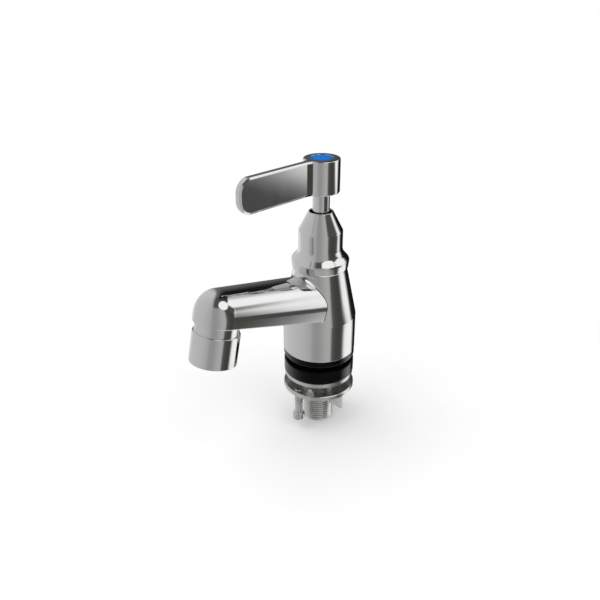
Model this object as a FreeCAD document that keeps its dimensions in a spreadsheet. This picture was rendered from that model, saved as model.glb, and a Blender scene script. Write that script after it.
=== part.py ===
import FreeCAD, Part
import math
import os
import Sketcher

# Pillar tap with a quarter turn lever. Millimetres, +Z up along the shank and the spindle.
# The origin is the centre of the body's foot, and the spout and the closed lever point to -Y.

SIZES = (
    # Body and spout
    ("foot_radius", 24.7, "outside of the lower body"),
    ("foot_wall", 3.4, "rim that stands on the gasket"),
    ("boss_radius", 15.5, "boss round the shank, inside the foot"),
    ("recess_height", 17.0, "hollow under the body"),
    ("crease_height", 26.4, "where the body starts to taper"),
    ("shoulder_height", 61.3, "top of the taper, seat of the bonnet"),
    ("shoulder_radius", 17.5, "body at that seat"),
    ("spigot_radius", 15.0, "ring that the bonnet screws over"),
    ("spigot_rise", 6.2, "height of that ring"),
    ("spout_base", 33.97, "spout axis where it meets the tap's axis"),
    ("spout_angle", 15.1, "slope of the spout, degrees"),
    ("spout_length", 88.68, "along the spout to the elbow's centre"),
    ("spout_root_radius", 19.1, "arched top of the spout at the tap's axis"),
    ("spout_end_radius", 15.0, "arched top at the elbow"),
    ("spout_root_depth", 7.4, "flat side below the spout's axis, at the tap's axis"),
    ("spout_end_depth", 5.2, "flat side below the spout's axis, at the elbow"),
    ("elbow_rise", 0.1, "ball of the elbow proud of the spout"),
    ("elbow_skirt", 5.2, "straight skirt below the ball's centre"),
    ("outlet_angle", 12.7, "tilt of the outlet, degrees"),
    ("outlet_drop", 11.1, "elbow centre to the aerator's top"),
    ("neck_radius", 13.4, "neck above the aerator"),
    ("outlet_thread_radius", 11.9, "male thread that carries the aerator"),
    ("outlet_thread_length", 8.9, "length of that thread"),
    ("spout_way_radius", 6.5, "waterway in the spout"),
    ("spout_way_lift", 4.5, "waterway above the spout's axis"),
    ("outlet_way_radius", 9.0, "waterway in the outlet"),
    ("way_start", 13.0, "start of the waterway along the spout"),
    ("inlet_way_radius", 6.5, "waterway in the shank"),
    ("body_way_radius", 7.0, "waterway from the shank to the seat"),
    ("chamber_radius", 12.0, "chamber round the headwork"),
    ("seat_height", 35.0, "floor of that chamber"),
    ("chamber_height", 54.0, "top of that chamber"),
    ("edge_break", 0.5, "small chamfers and rounds"),
    ("turn_fit", 0.07, "radial clearance of threads and shafts"),
    ("slip_fit", 0.3, "clearance of rings and loose pieces"),
    # Shank and the gasket
    ("shank_radius", 10.4775, "G 1/2 thread, outside"),
    ("shank_length", 59.2, "shank below the body"),
    ("shank_grip", 13.0, "shank inside the body"),
    ("shank_chamfer", 1.2, "lead of the thread"),
    ("shank_seal_height", 1.5, "seal above the shank"),
    ("gasket_inset", 0.1, "black ring inside the edge of the foot"),
    ("gasket_height", 4.4, "its thickness"),
    # Deck clamp
    ("deck_gap", 4.3, "room for the deck as drawn"),
    ("deck_washer_radius", 24.4, "rubber ring"),
    ("deck_washer_height", 9.5, "its thickness"),
    ("plate_inset", 0.4, "steel washer inside the rubber ring's edge"),
    ("plate_height", 3.0, "its thickness"),
    ("nut_gap", 7.0, "steel washer to nut flange"),
    ("flange_radius", 24.9, "nut flange"),
    ("flange_height", 3.4, "its thickness"),
    ("nut_hub_radius", 12.8, "threaded hub of the nut"),
    ("nut_hub_height", 4.6, "hub below the flange"),
    ("wing_inset", 2.1, "wings in from the flange's edge"),
    ("wing_height", 11.8, "wings below the flange"),
    ("wing_width", 2.0, "their thickness"),
    ("prong_inset", 2.9, "gripping prongs in from the flange's edge"),
    ("prong_angle", 28.5, "prongs round the flange, degrees from -Y"),
    ("prong_width", 6.0, "prong at its foot"),
    ("prong_height", 4.4, "prong above the flange"),
    ("prong_thick", 1.1, "prong sheet"),
    ("jack_radius", 3.0, "jack screw"),
    ("jack_inset", 4.9, "jack screws in from the flange's edge"),
    ("jack_proud", 1.0, "tip above the flange"),
    ("jack_reach", 24.6, "flange top to the screw's end"),
    ("jack_head_radius", 4.2, "head of the jack screw"),
    ("jack_head_height", 5.0, "height of that head"),
    ("jack_slot_width", 1.4, "slot across the head"),
    ("jack_slot_depth", 2.0, "depth of that slot"),
    # Bonnet
    ("collar_radius", 19.15, "collar on the body"),
    ("collar_height", 4.85, "straight part of the collar"),
    ("flare_height", 5.3, "slope from collar to cylinder"),
    ("bonnet_radius", 14.45, "cylinder"),
    ("bonnet_height", 14.2, "cylinder length"),
    ("cone_height", 12.8, "cone up to the rim"),
    ("rim_radius", 7.9, "top of the cone"),
    ("mouth_radius", 7.0, "opening round the stem"),
    ("bonnet_wall", 2.2, "wall of the bonnet"),
    # Headwork
    ("skirt_radius", 9.4, "lower sleeve"),
    ("skirt_bore", 8.4, "bore for the discs"),
    ("skirt_lift", 0.6, "sleeve above the chamber floor"),
    ("window_base", 12.6, "windows above the chamber floor"),
    ("window_height", 6.0, "height of the windows"),
    ("window_width", 9.0, "width of the windows"),
    ("headwork_thread_radius", 9.98, "thread in the body"),
    ("headwork_ring_height", 1.2, "seal under the hexagon"),
    ("headwork_ring_radius", 11.6, "its outside"),
    ("hexagon_flat", 21.0, "hexagon across flats"),
    ("hexagon_height", 5.0, "its thickness"),
    ("headwork_neck_radius", 7.2, "neck round the spindle"),
    ("headwork_neck_height", 15.8, "neck above the hexagon"),
    ("spindle_radius", 5.0, "spindle in the neck"),
    ("spindle_collar_radius", 8.0, "collar under the neck"),
    ("spindle_collar_height", 3.5, "its thickness"),
    ("thrust_height", 0.8, "slip washer"),
    ("spindle_foot_radius", 6.0, "foot on the moving disc"),
    ("spline_radius", 3.9, "spline in the lever"),
    ("spline_length", 18.0, "spline above the clip land"),
    ("clip_height", 0.9, "retaining clip"),
    ("clip_groove_radius", 4.2, "groove for the clip"),
    ("clip_radius", 6.6, "outside of the clip"),
    ("clip_opening", 5.0, "gap of the clip"),
    ("clip_land", 1.2, "spindle above the clip"),
    ("ring_groove_radius", 3.6, "bottom of the O-ring grooves"),
    ("ring_groove_width", 2.0, "their width"),
    ("ring_low", 3.5, "lower O-ring above the hexagon's foot"),
    ("ring_pitch", 5.5, "between the O-rings"),
    ("disc_height", 3.5, "ceramic discs"),
    ("disc_play", 0.05, "running gap of the discs"),
    ("moving_disc_radius", 8.0, "turned by the spindle"),
    ("key_width", 3.6, "key between spindle and disc"),
    ("key_length", 10.4, "its length"),
    ("key_depth", 1.4, "its depth"),
    ("port_radius", 2.3, "water ports of the discs"),
    ("port_offset", 5.2, "ports from the axis"),
    ("seat_seal_height", 5.3, "rubber ring on the chamber floor"),
    ("seat_seal_bore", 5.6, "its bore radius"),
    # Lever
    ("lever_base", 111.1, "underside of hub and paddle"),
    ("hub_radius", 11.6, "hub"),
    ("hub_height", 21.5, "height of hub and paddle"),
    ("hub_round", 0.9, "rounded hub edges"),
    ("stem_radius", 5.5, "stem under the hub"),
    ("stem_length", 17.6, "stem down into the bonnet"),
    ("lever_reach", 67.7, "axis to the lever's tip"),
    ("lever_corner", 8.7, "corner of the paddle"),
    ("lever_width", 4.6, "paddle sheet"),
    ("lever_bevel", 0.8, "bevel round the paddle's faces"),
    ("index_radius", 7.25, "blue disc"),
    ("index_height", 1.4, "its thickness"),
    ("screw_pocket_radius", 5.0, "pocket for the handle screw"),
    ("screw_seat", 7.0, "hub floor under the screw head"),
    ("screw_head_radius", 3.7, "handle screw head"),
    ("screw_head_height", 2.6, "its height"),
    ("screw_radius", 2.0, "handle screw"),
    ("screw_length", 17.0, "below its head"),
    ("hex_key_flat", 2.5, "socket of the screw"),
    # Aerator
    ("aerator_radius", 14.4, "outlet sleeve"),
    ("aerator_length", 19.4, "its length"),
    ("aerator_bore", 12.4, "room for the insert"),
    ("aerator_lip", 2.0, "lip at the mouth"),
    ("aerator_mouth", 10.9, "mouth radius"),
    ("aerator_washer_height", 1.7, "rubber washer"),
    ("regulator_height", 1.6, "flow regulator"),
    ("screen_height", 0.5, "sieve"),
    ("insert_rim", 1.2, "wall round the cells"),
    ("insert_plate", 1.6, "cell plate"),
    ("cell_radius", 1.05, "water cells"),
    ("cell_pitch", 2.9, "between rings of cells"),
)

doc = FreeCAD.newDocument("pillar_tap")
sheet = doc.addObject("Spreadsheet::Sheet", "dims")
for row, (alias, number, note) in enumerate(SIZES, 1):
    sheet.set(f"A{row}", note)
    sheet.set(f"B{row}", str(number))
    sheet.setAlias(f"B{row}", alias)
doc.recompute()


class Size:
    """A dimension as a formula over the sheet, with its present value."""

    def __init__(self, formula, number):
        self.formula = formula
        self.number = number

    def _with(self, sign, other, swap=False):
        if not isinstance(other, Size):
            other = Size(repr(other), other)
        one, two = (other, self) if swap else (self, other)
        number = {
            "+": lambda: one.number + two.number,
            "-": lambda: one.number - two.number,
            "*": lambda: one.number * two.number,
            "/": lambda: one.number / two.number,
        }[sign]()
        return Size(f"({one.formula} {sign} {two.formula})", number)

    def __add__(self, other):
        return self._with("+", other)

    def __radd__(self, other):
        return self._with("+", other, True)

    def __sub__(self, other):
        return self._with("-", other)

    def __rsub__(self, other):
        return self._with("-", other, True)

    def __mul__(self, other):
        return self._with("*", other)

    def __rmul__(self, other):
        return self._with("*", other, True)

    def __truediv__(self, other):
        return self._with("/", other)

    def __neg__(self):
        return Size(f"(0 - {self.formula})", -self.number)


def sine(angle):
    return Size(f"sin({angle.formula})", math.sin(math.radians(angle.number)))


def cosine(angle):
    return Size(f"cos({angle.formula})", math.cos(math.radians(angle.number)))


def root(size):
    return Size(f"sqrt({size.formula})", math.sqrt(size.number))


class Sizes:
    pass


d = Sizes()
for alias, number, note in SIZES:
    setattr(d, alias, Size(f"dims.{alias}", float(number)))


# Helpers for bodies, sketches and features

def bind(thing, name, size):
    """Sets a property to a size and ties it to the sheet."""
    setattr(thing, name, size.number)
    thing.setExpression(name, size.formula)


def new_body(label):
    body = doc.addObject("PartDesign::Body", label)
    body.Label = label
    return body


def place(body, y, z, lean=None):
    """Moves a body in the plane of the spout and tilts its axis towards -Y."""
    turn = FreeCAD.Rotation(FreeCAD.Vector(-1, 0, 0), lean.number if lean else 0)
    body.Placement = FreeCAD.Placement(FreeCAD.Vector(0, y.number, z.number), turn)
    body.setExpression("Placement.Base.y", y.formula)
    body.setExpression("Placement.Base.z", z.formula)
    if lean:
        body.setExpression("Placement.Rotation.Angle", lean.formula)


def new_sketch(body, name, role, offset=None, lean=None):
    """Sketch on one of the body's own origin planes, lifted by an offset and tilted towards -Y."""
    sketch = body.newObject("Sketcher::SketchObject", name)
    plane = [item for item in body.Origin.OriginFeatures if item.Role == role][0]
    sketch.AttachmentSupport = (plane, [""])
    sketch.MapMode = "FlatFace"
    if offset is not None:
        turn = FreeCAD.Rotation(FreeCAD.Vector(-1, 0, 0), lean.number if lean else 0)
        sketch.AttachmentOffset = FreeCAD.Placement(FreeCAD.Vector(0, 0, offset.number), turn)
        sketch.setExpression("AttachmentOffset.Base.z", offset.formula)
        if lean:
            sketch.setExpression("AttachmentOffset.Rotation.Angle", lean.formula)
    return sketch


def pin_point(sketch, geometry, end, point):
    """Ties one end of an edge to its two coordinates."""
    for kind, size, axis in (("DistanceX", point[0], -2), ("DistanceY", point[1], -1)):
        if isinstance(size, Size):
            row = sketch.addConstraint(Sketcher.Constraint(kind, -1, 1, geometry, end, size.number))
            sketch.setExpression(f"Constraints[{row}]", size.formula)
        else:
            sketch.addConstraint(Sketcher.Constraint("PointOnObject", geometry, end, axis))


def numbers(point):
    return tuple(size.number if isinstance(size, Size) else 0.0 for size in point)


def draw(sketch, points, arcs=None):
    """Closed outline through the points. arcs maps an edge to its radius: above zero turns left."""
    arcs = arcs or {}
    first = sketch.GeometryCount
    ends = []
    count = len(points)
    for index in range(count):
        ax, ay = numbers(points[index])
        bx, by = numbers(points[(index + 1) % count])
        if index in arcs:
            radius, left = arcs[index]
            half = math.hypot(bx - ax, by - ay) / 2
            rise = math.sqrt(max(radius.number ** 2 - half ** 2, 0.0))
            side = 1 if left else -1
            cx = (ax + bx) / 2 - side * rise * (by - ay) / (2 * half)
            cy = (ay + by) / 2 + side * rise * (bx - ax) / (2 * half)
            circle = Part.Circle(FreeCAD.Vector(cx, cy, 0), FreeCAD.Vector(0, 0, 1), radius.number)
            start = math.atan2(ay - cy, ax - cx)
            stop = math.atan2(by - cy, bx - cx)
            if not left:
                start, stop = stop, start
            sketch.addGeometry(Part.ArcOfCircle(circle, start, stop), False)
            ends.append((1, 2) if left else (2, 1))
        else:
            sketch.addGeometry(Part.LineSegment(FreeCAD.Vector(ax, ay, 0), FreeCAD.Vector(bx, by, 0)), False)
            ends.append((1, 2))
    for index in range(count):
        follow = (index + 1) % count
        sketch.addConstraint(Sketcher.Constraint(
            "Coincident", first + index, ends[index][1], first + follow, ends[follow][0]))
        pin_point(sketch, first + index, ends[index][0], points[index])
        if index in arcs:
            row = sketch.addConstraint(Sketcher.Constraint("Radius", first + index, arcs[index][0].number))
            sketch.setExpression(f"Constraints[{row}]", arcs[index][0].formula)


def draw_circle(sketch, x, y, radius):
    cx, cy = numbers((x, y))
    geometry = sketch.addGeometry(Part.Circle(FreeCAD.Vector(cx, cy, 0), FreeCAD.Vector(0, 0, 1), radius.number))
    pin_point(sketch, geometry, 3, (x, y))
    row = sketch.addConstraint(Sketcher.Constraint("Radius", geometry, radius.number))
    sketch.setExpression(f"Constraints[{row}]", radius.formula)


def draw_axis(sketch, start, stop):
    (ax, ay), (bx, by) = numbers(start), numbers(stop)
    line = Part.LineSegment(FreeCAD.Vector(ax, ay, 0), FreeCAD.Vector(bx, by, 0))
    geometry = sketch.addGeometry(line, True)
    pin_point(sketch, geometry, 1, start)
    pin_point(sketch, geometry, 2, stop)


def turn(body, name, points, arcs=None, cut=False, role="XZ_Plane", axis=None):
    """Revolves an outline, about the sketch's upright axis or an axis of its own."""
    sketch = new_sketch(body, f"{name}_outline", role)
    draw(sketch, points, arcs)
    if axis:
        draw_axis(sketch, *axis)
    kind = "PartDesign::Groove" if cut else "PartDesign::Revolution"
    before = body.Shape.Volume if cut else 0
    feature = body.newObject(kind, name)
    feature.Profile = sketch
    feature.ReferenceAxis = (sketch, ["Axis0" if axis else "V_Axis"])
    feature.Angle = 360
    settle(body, name, before)
    return feature


def extrude(body, name, sketch, length, cut=False, both=False, reverse=False):
    before = body.Shape.Volume if cut else 0
    feature = body.newObject("PartDesign::Pocket" if cut else "PartDesign::Pad", name)
    feature.Profile = sketch
    bind(feature, "Length", length)
    feature.Midplane = both
    feature.Reversed = reverse
    settle(body, name, before)
    return feature


def settle(body, name, before):
    """Recomputes and makes sure that a cut has taken something away."""
    doc.recompute()
    if before and not body.Shape.Volume < before - 1e-6:
        raise RuntimeError(f"{name} cuts nothing")


def circular(body, name, feature, copies):
    pattern = body.newObject("PartDesign::PolarPattern", name)
    pattern.Originals = [feature]
    upright = [item for item in body.Origin.OriginFeatures if item.Role == "Z_Axis"][0]
    pattern.Axis = (upright, [""])
    pattern.Angle = 360
    pattern.Occurrences = copies
    body.Tip = pattern
    doc.recompute()
    return pattern


def dress(body, name, kind, size, wanted):
    """Fillet or chamfer on the edges of the body's present shape that the test picks."""
    base = body.Tip
    edges = [f"Edge{index}" for index, edge in enumerate(base.Shape.Edges, 1) if wanted(edge)]
    if not edges:
        raise RuntimeError(f"{name} finds no edge")
    feature = body.newObject(f"PartDesign::{kind}", name)
    feature.Base = (base, edges)
    bind(feature, "Radius" if kind == "Fillet" else "Size", size)
    doc.recompute()
    return feature


def ring_edge(radius, height):
    """Test for a round edge about the upright axis."""
    def wanted(edge):
        curve = edge.Curve
        if not isinstance(curve, Part.Circle):
            return False
        off_axis = math.hypot(curve.Center.x, curve.Center.y)
        return (off_axis < 1e-4 and abs(curve.Radius - radius.number) < 1e-4
                and abs(curve.Center.z - height.number) < 1e-4)
    return wanted


def any_of(*tests):
    return lambda edge: any(test(edge) for test in tests)


def ring(label, inner, outer, low, high):
    """Plain washer about the body's upright axis."""
    body = new_body(label)
    turn(body, f"{label}_ring", [(inner, low), (outer, low), (outer, high), (inner, high)])
    return body


# Levels and places that several pieces share

spigot_top = d.shoulder_height + d.spigot_rise
socket_top = d.shank_grip + d.shank_seal_height
socket_radius = d.shank_radius + d.turn_fit
thread_bore = d.headwork_thread_radius + d.turn_fit
collar_top = d.shoulder_height + d.collar_height
flare_top = collar_top + d.flare_height
cylinder_top = flare_top + d.bonnet_height
bonnet_top = cylinder_top + d.cone_height
deck_washer_top = -d.gasket_height - d.deck_gap
plate_top = deck_washer_top - d.deck_washer_height
plate_low = plate_top - d.plate_height
flange_top = plate_low - d.nut_gap
flange_low = flange_top - d.flange_height
clamp_bore = d.shank_radius + d.slip_fit
plate_radius = d.deck_washer_radius - d.plate_inset
jack_offset = d.flange_radius - d.jack_inset

rise_y = -cosine(d.spout_angle)
rise_z = sine(d.spout_angle)
elbow_y = rise_y * d.spout_length
elbow_z = d.spout_base + rise_z * d.spout_length
elbow_radius = d.spout_end_radius + d.elbow_rise
lean_y = sine(d.outlet_angle)
lean_z = cosine(d.outlet_angle)


def spout_point(along, across):
    """Point of the spout's plane, along its axis and square to it."""
    if across is None:
        return (rise_y * along, d.spout_base + rise_z * along)
    return (rise_y * along + rise_z * across, d.spout_base + rise_z * along - rise_y * across)


def outlet_point(across, up):
    """Point of the spout's plane, outward from the outlet's axis and up it from the elbow's centre."""
    y = elbow_y + lean_y * up
    z = elbow_z + lean_z * up
    if across is None:
        return (y, z)
    return (y - lean_z * across, z + lean_y * across)


# Body with spout, elbow and neck in one casting

casting = new_body("body_casting")
turn(casting, "spout_arch", [
    (0, d.spout_base),
    spout_point(d.spout_length, None),
    spout_point(d.spout_length, d.spout_end_radius),
    (rise_z * d.spout_root_radius, d.spout_base - rise_y * d.spout_root_radius),
], role="YZ_Plane", axis=((0, d.spout_base), spout_point(d.spout_length, None)))
sides = new_sketch(casting, "spout_plan", "XY_Plane", d.spout_base, d.spout_angle)
draw(sides, [
    (d.spout_root_radius, 0),
    (-d.spout_root_radius, 0),
    (-d.spout_end_radius, -d.spout_length),
    (d.spout_end_radius, -d.spout_length),
])
extrude(casting, "spout_sides", sides, d.spout_root_depth, reverse=True)
underside = new_sketch(casting, "spout_underside_outline", "YZ_Plane")
draw(underside, [
    (-rise_z * d.spout_root_depth, d.spout_base + rise_y * d.spout_root_depth),
    spout_point(d.spout_length, -d.spout_end_depth),
    spout_point(d.spout_length, -2 * d.spout_root_radius),
    (-2 * rise_z * d.spout_root_radius, d.spout_base + 2 * rise_y * d.spout_root_radius),
])
extrude(casting, "spout_underside", underside, 3 * d.spout_root_radius, cut=True, both=True)
thread_end = -d.outlet_drop - d.outlet_thread_length
turn(casting, "elbow", [
    outlet_point(None, elbow_radius),
    outlet_point(None, -d.elbow_skirt),
    outlet_point(elbow_radius, -d.elbow_skirt),
    outlet_point(elbow_radius, Size("0", 0.0)),
], arcs={3: (elbow_radius, False)}, role="YZ_Plane",
    axis=(outlet_point(None, -d.elbow_skirt), outlet_point(None, elbow_radius)))
turn(casting, "neck", [
    outlet_point(None, -d.elbow_skirt),
    outlet_point(None, thread_end),
    outlet_point(d.outlet_thread_radius, thread_end),
    outlet_point(d.outlet_thread_radius, -d.outlet_drop),
    outlet_point(d.neck_radius, -d.outlet_drop),
    outlet_point(d.neck_radius, -d.elbow_skirt),
], role="YZ_Plane", axis=(outlet_point(None, thread_end), outlet_point(None, -d.elbow_skirt)))
rim_bore = d.foot_radius - d.foot_wall
turn(casting, "barrel", [
    (0, 0),
    (d.boss_radius, 0),
    (d.boss_radius, d.recess_height),
    (rim_bore, d.recess_height),
    (rim_bore, 0),
    (d.foot_radius, 0),
    (d.foot_radius, d.crease_height),
    (d.shoulder_radius, d.shoulder_height),
    (d.spigot_radius, d.shoulder_height),
    (d.spigot_radius, spigot_top),
    (0, spigot_top),
])
turn(casting, "spout_way", [
    spout_point(d.way_start, d.spout_way_lift),
    spout_point(d.spout_length, d.spout_way_lift),
    spout_point(d.spout_length, d.spout_way_lift + d.spout_way_radius),
    spout_point(d.way_start, d.spout_way_lift + d.spout_way_radius),
], cut=True, role="YZ_Plane",
    axis=(spout_point(d.way_start, d.spout_way_lift), spout_point(d.spout_length, d.spout_way_lift)))
turn(casting, "outlet_way", [
    outlet_point(None, d.outlet_way_radius),
    outlet_point(None, thread_end),
    outlet_point(d.outlet_way_radius, thread_end),
    outlet_point(d.outlet_way_radius, Size("0", 0.0)),
], arcs={3: (d.outlet_way_radius, False)}, cut=True, role="YZ_Plane",
    axis=(outlet_point(None, thread_end), outlet_point(None, d.outlet_way_radius)))
turn(casting, "bores", [
    (0, 0),
    (socket_radius, 0),
    (socket_radius, socket_top),
    (d.body_way_radius, socket_top),
    (d.body_way_radius, d.seat_height),
    (d.chamber_radius, d.seat_height),
    (d.chamber_radius, d.chamber_height),
    (thread_bore, d.chamber_height),
    (thread_bore, spigot_top),
    (0, spigot_top),
], cut=True)

# Threaded shank, its seal and the gasket

shank = new_body("inlet_shank")
shank_low = -d.shank_length
turn(shank, "tail", [
    (d.inlet_way_radius, shank_low),
    (d.shank_radius - d.shank_chamfer, shank_low),
    (d.shank_radius, shank_low + d.shank_chamfer),
    (d.shank_radius, d.shank_grip),
    (d.inlet_way_radius, d.shank_grip),
])
ring("shank_seal", d.body_way_radius, d.shank_radius, d.shank_grip, socket_top)
gasket = new_body("base_gasket")
gasket_radius = d.foot_radius - d.gasket_inset
turn(gasket, "gasket_ring", [
    (clamp_bore, -d.gasket_height),
    (gasket_radius - d.edge_break, -d.gasket_height),
    (gasket_radius, d.edge_break - d.gasket_height),
    (gasket_radius, 0),
    (clamp_bore, 0),
])

# Bonnet, a thin turned shell

bonnet = new_body("bonnet")
bonnet_bore = d.bonnet_radius - d.bonnet_wall
spigot_bore = d.spigot_radius + d.turn_fit
mouth_low = bonnet_top - d.bonnet_wall
turn(bonnet, "shell", [
    (spigot_bore, d.shoulder_height),
    (d.collar_radius, d.shoulder_height),
    (d.collar_radius, collar_top),
    (d.bonnet_radius, flare_top),
    (d.bonnet_radius, cylinder_top),
    (d.rim_radius, bonnet_top),
    (d.mouth_radius, bonnet_top),
    (d.mouth_radius, mouth_low),
    (bonnet_bore, cylinder_top - d.bonnet_wall),
    (bonnet_bore, flare_top),
    (spigot_bore, spigot_top + d.slip_fit),
])
dress(bonnet, "bonnet_rounds", "Fillet", d.edge_break, any_of(
    ring_edge(d.collar_radius, collar_top),
    ring_edge(d.collar_radius, d.shoulder_height),
    ring_edge(d.bonnet_radius, flare_top),
    ring_edge(d.bonnet_radius, cylinder_top),
))

# Headwork: brass housing with a hexagon, windows and a neck

headwork = new_body("headwork_body")
seal_low = spigot_top + d.headwork_ring_height
hexagon_top = seal_low + d.hexagon_height
neck_top = hexagon_top + d.headwork_neck_height
skirt_low = d.seat_height + d.skirt_lift
disc_low = d.seat_height + d.seat_seal_height
moving_low = disc_low + d.disc_height + d.disc_play
moving_top = moving_low + d.disc_height
foot_low = moving_top
spindle_bore = d.spindle_radius + d.turn_fit
groove_top = neck_top + d.disc_play + d.clip_height
spindle_land = groove_top + d.clip_land
spline_top = spindle_land + d.spline_length
screw_top = d.lever_base + d.screw_seat
step_height = d.chamber_height + d.spindle_collar_height + d.spindle_collar_height
collar_base = step_height - d.disc_play - d.thrust_height - d.spindle_collar_height
turn(headwork, "housing", [
    (d.skirt_bore, skirt_low),
    (d.skirt_radius, skirt_low),
    (d.skirt_radius, d.chamber_height),
    (d.headwork_thread_radius, d.chamber_height),
    (d.headwork_thread_radius, hexagon_top),
    (d.headwork_neck_radius, hexagon_top),
    (d.headwork_neck_radius, neck_top),
    (spindle_bore, neck_top),
    (spindle_bore, step_height),
    (d.skirt_bore, step_height),
])


def hexagon_points(flat):
    """Corners of a hexagon, two of them on the X axis."""
    half_flat = flat / 2
    corner = half_flat / math.cos(math.pi / 6)
    return [
        (corner, 0),
        (corner / 2, half_flat),
        (-corner / 2, half_flat),
        (-corner, 0),
        (-corner / 2, -half_flat),
        (corner / 2, -half_flat),
    ]


hexagon = new_sketch(headwork, "hexagon_outline", "XY_Plane", seal_low)
draw(hexagon, hexagon_points(d.hexagon_flat))
draw_circle(hexagon, 0, 0, d.headwork_neck_radius)
extrude(headwork, "hexagon", hexagon, d.hexagon_height)
window = new_sketch(headwork, "window_outline", "YZ_Plane")
window_low = d.seat_height + d.window_base
window_top = window_low + d.window_height
half_window = d.window_width / 2
draw(window, [
    (-half_window, window_low),
    (half_window, window_low),
    (half_window, window_top),
    (-half_window, window_top),
])
extrude(headwork, "windows", window, d.skirt_radius * 3, cut=True, both=True)
ring("headwork_seal", d.headwork_thread_radius, d.headwork_ring_radius, spigot_top, seal_low)

# Spindle with collar, O-ring grooves, clip groove and key

spindle = new_body("spindle")
ring_one = hexagon_top - d.hexagon_height + d.ring_low
ring_two = ring_one + d.ring_pitch
half_groove = d.ring_groove_width / 2
tap_radius = d.screw_radius + d.turn_fit
tap_low = screw_top - d.screw_length - d.slip_fit
turn(spindle, "spindle_shaft", [
    (0, foot_low),
    (d.spindle_foot_radius, foot_low),
    (d.spindle_foot_radius, collar_base),
    (d.spindle_collar_radius, collar_base),
    (d.spindle_collar_radius, collar_base + d.spindle_collar_height),
    (d.spindle_radius, collar_base + d.spindle_collar_height),
    (d.spindle_radius, ring_one - half_groove),
    (d.ring_groove_radius, ring_one - half_groove),
    (d.ring_groove_radius, ring_one + half_groove),
    (d.spindle_radius, ring_one + half_groove),
    (d.spindle_radius, ring_two - half_groove),
    (d.ring_groove_radius, ring_two - half_groove),
    (d.ring_groove_radius, ring_two + half_groove),
    (d.spindle_radius, ring_two + half_groove),
    (d.spindle_radius, neck_top + d.disc_play),
    (d.clip_groove_radius, neck_top + d.disc_play),
    (d.clip_groove_radius, groove_top),
    (d.spindle_radius, groove_top),
    (d.spindle_radius, spindle_land),
    (d.spline_radius, spindle_land),
    (d.spline_radius, spline_top),
    (tap_radius, spline_top),
    (tap_radius, tap_low),
    (0, tap_low),
])


def key_outline(body, name, level, clearance):
    """Rectangle for the key or its slot."""
    sketch = new_sketch(body, name, "XY_Plane", level)
    half_length = d.key_length / 2 + clearance
    half_width = d.key_width / 2 + clearance
    draw(sketch, [
        (-half_length, -half_width),
        (half_length, -half_width),
        (half_length, half_width),
        (-half_length, half_width),
    ])
    return sketch


no_play = Size("0", 0.0)
extrude(spindle, "spindle_key", key_outline(spindle, "spindle_key_outline", foot_low, no_play),
        d.key_depth, reverse=True)

# O-rings, clip and slip washer of the spindle

rings = doc.addObject("Part::Compound", "spindle_rings")
rings.Label = "spindle_rings"
cord = (d.spindle_radius - d.ring_groove_radius) / 2
ring_links = []
for index, level in enumerate((ring_one, ring_two), 1):
    torus = doc.addObject("Part::Torus", f"spindle_ring_{index}")
    bind(torus, "Radius1", d.ring_groove_radius + cord)
    bind(torus, "Radius2", cord)
    torus.Placement.Base.z = level.number
    torus.setExpression("Placement.Base.z", level.formula)
    ring_links.append(torus)
rings.Links = ring_links

clip = new_body("spindle_clip")
clip_low = neck_top + d.disc_play
turn(clip, "clip_ring", [
    (d.clip_groove_radius, clip_low),
    (d.clip_radius, clip_low),
    (d.clip_radius, groove_top),
    (d.clip_groove_radius, groove_top),
])
clip_gap = new_sketch(clip, "clip_gap_outline", "XY_Plane", clip_low)
half_opening = d.clip_opening / 2
draw(clip_gap, [
    (-half_opening, 0),
    (half_opening, 0),
    (half_opening, d.clip_radius),
    (-half_opening, d.clip_radius),
])
extrude(clip, "clip_gap", clip_gap, d.clip_height, cut=True, reverse=True)
ring("thrust_washer", spindle_bore, d.spindle_collar_radius,
     collar_base + d.spindle_collar_height, step_height - d.disc_play)

# Ceramic discs and the seat seal


def ports(body, name, level, across):
    """Two water ports through a disc."""
    sketch = new_sketch(body, f"{name}_outline", "XY_Plane", level)
    for side in (1, -1):
        offset = d.port_offset * side
        draw_circle(sketch, *((offset, 0) if across else (0, offset)), d.port_radius)
    extrude(body, name, sketch, d.disc_height, cut=True, reverse=True)


fixed_radius = d.skirt_bore - d.disc_play
fixed = new_body("fixed_disc")
turn(fixed, "fixed_blank", [
    (0, disc_low),
    (fixed_radius, disc_low),
    (fixed_radius, disc_low + d.disc_height),
    (0, disc_low + d.disc_height),
])
ports(fixed, "fixed_ports", disc_low, True)
moving = new_body("moving_disc")
turn(moving, "moving_blank", [
    (0, moving_low),
    (d.moving_disc_radius, moving_low),
    (d.moving_disc_radius, moving_top),
    (0, moving_top),
])
ports(moving, "moving_ports", moving_low, False)
extrude(moving, "moving_slot", key_outline(moving, "moving_slot_outline", moving_top, d.disc_play),
        d.key_depth + d.disc_play, cut=True)
ring("seat_seal", d.seat_seal_bore, fixed_radius, d.seat_height, disc_low)

# Lever: paddle with bevelled faces, hub and stem

lever = new_body("lever_handle")
lever_top = d.lever_base + d.hub_height
paddle = new_sketch(lever, "paddle_outline", "YZ_Plane")
tip = -d.lever_reach
draw(paddle, [
    (0, d.lever_base),
    (0, lever_top),
    (tip + d.lever_corner, lever_top),
    (tip, lever_top - d.lever_corner),
    (tip, d.lever_base + d.lever_corner),
    (tip + d.lever_corner, d.lever_base),
], arcs={2: (d.lever_corner, True), 4: (d.lever_corner, True)})
extrude(lever, "paddle", paddle, d.lever_width, both=True)
half_paddle = d.lever_width / 2


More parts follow.
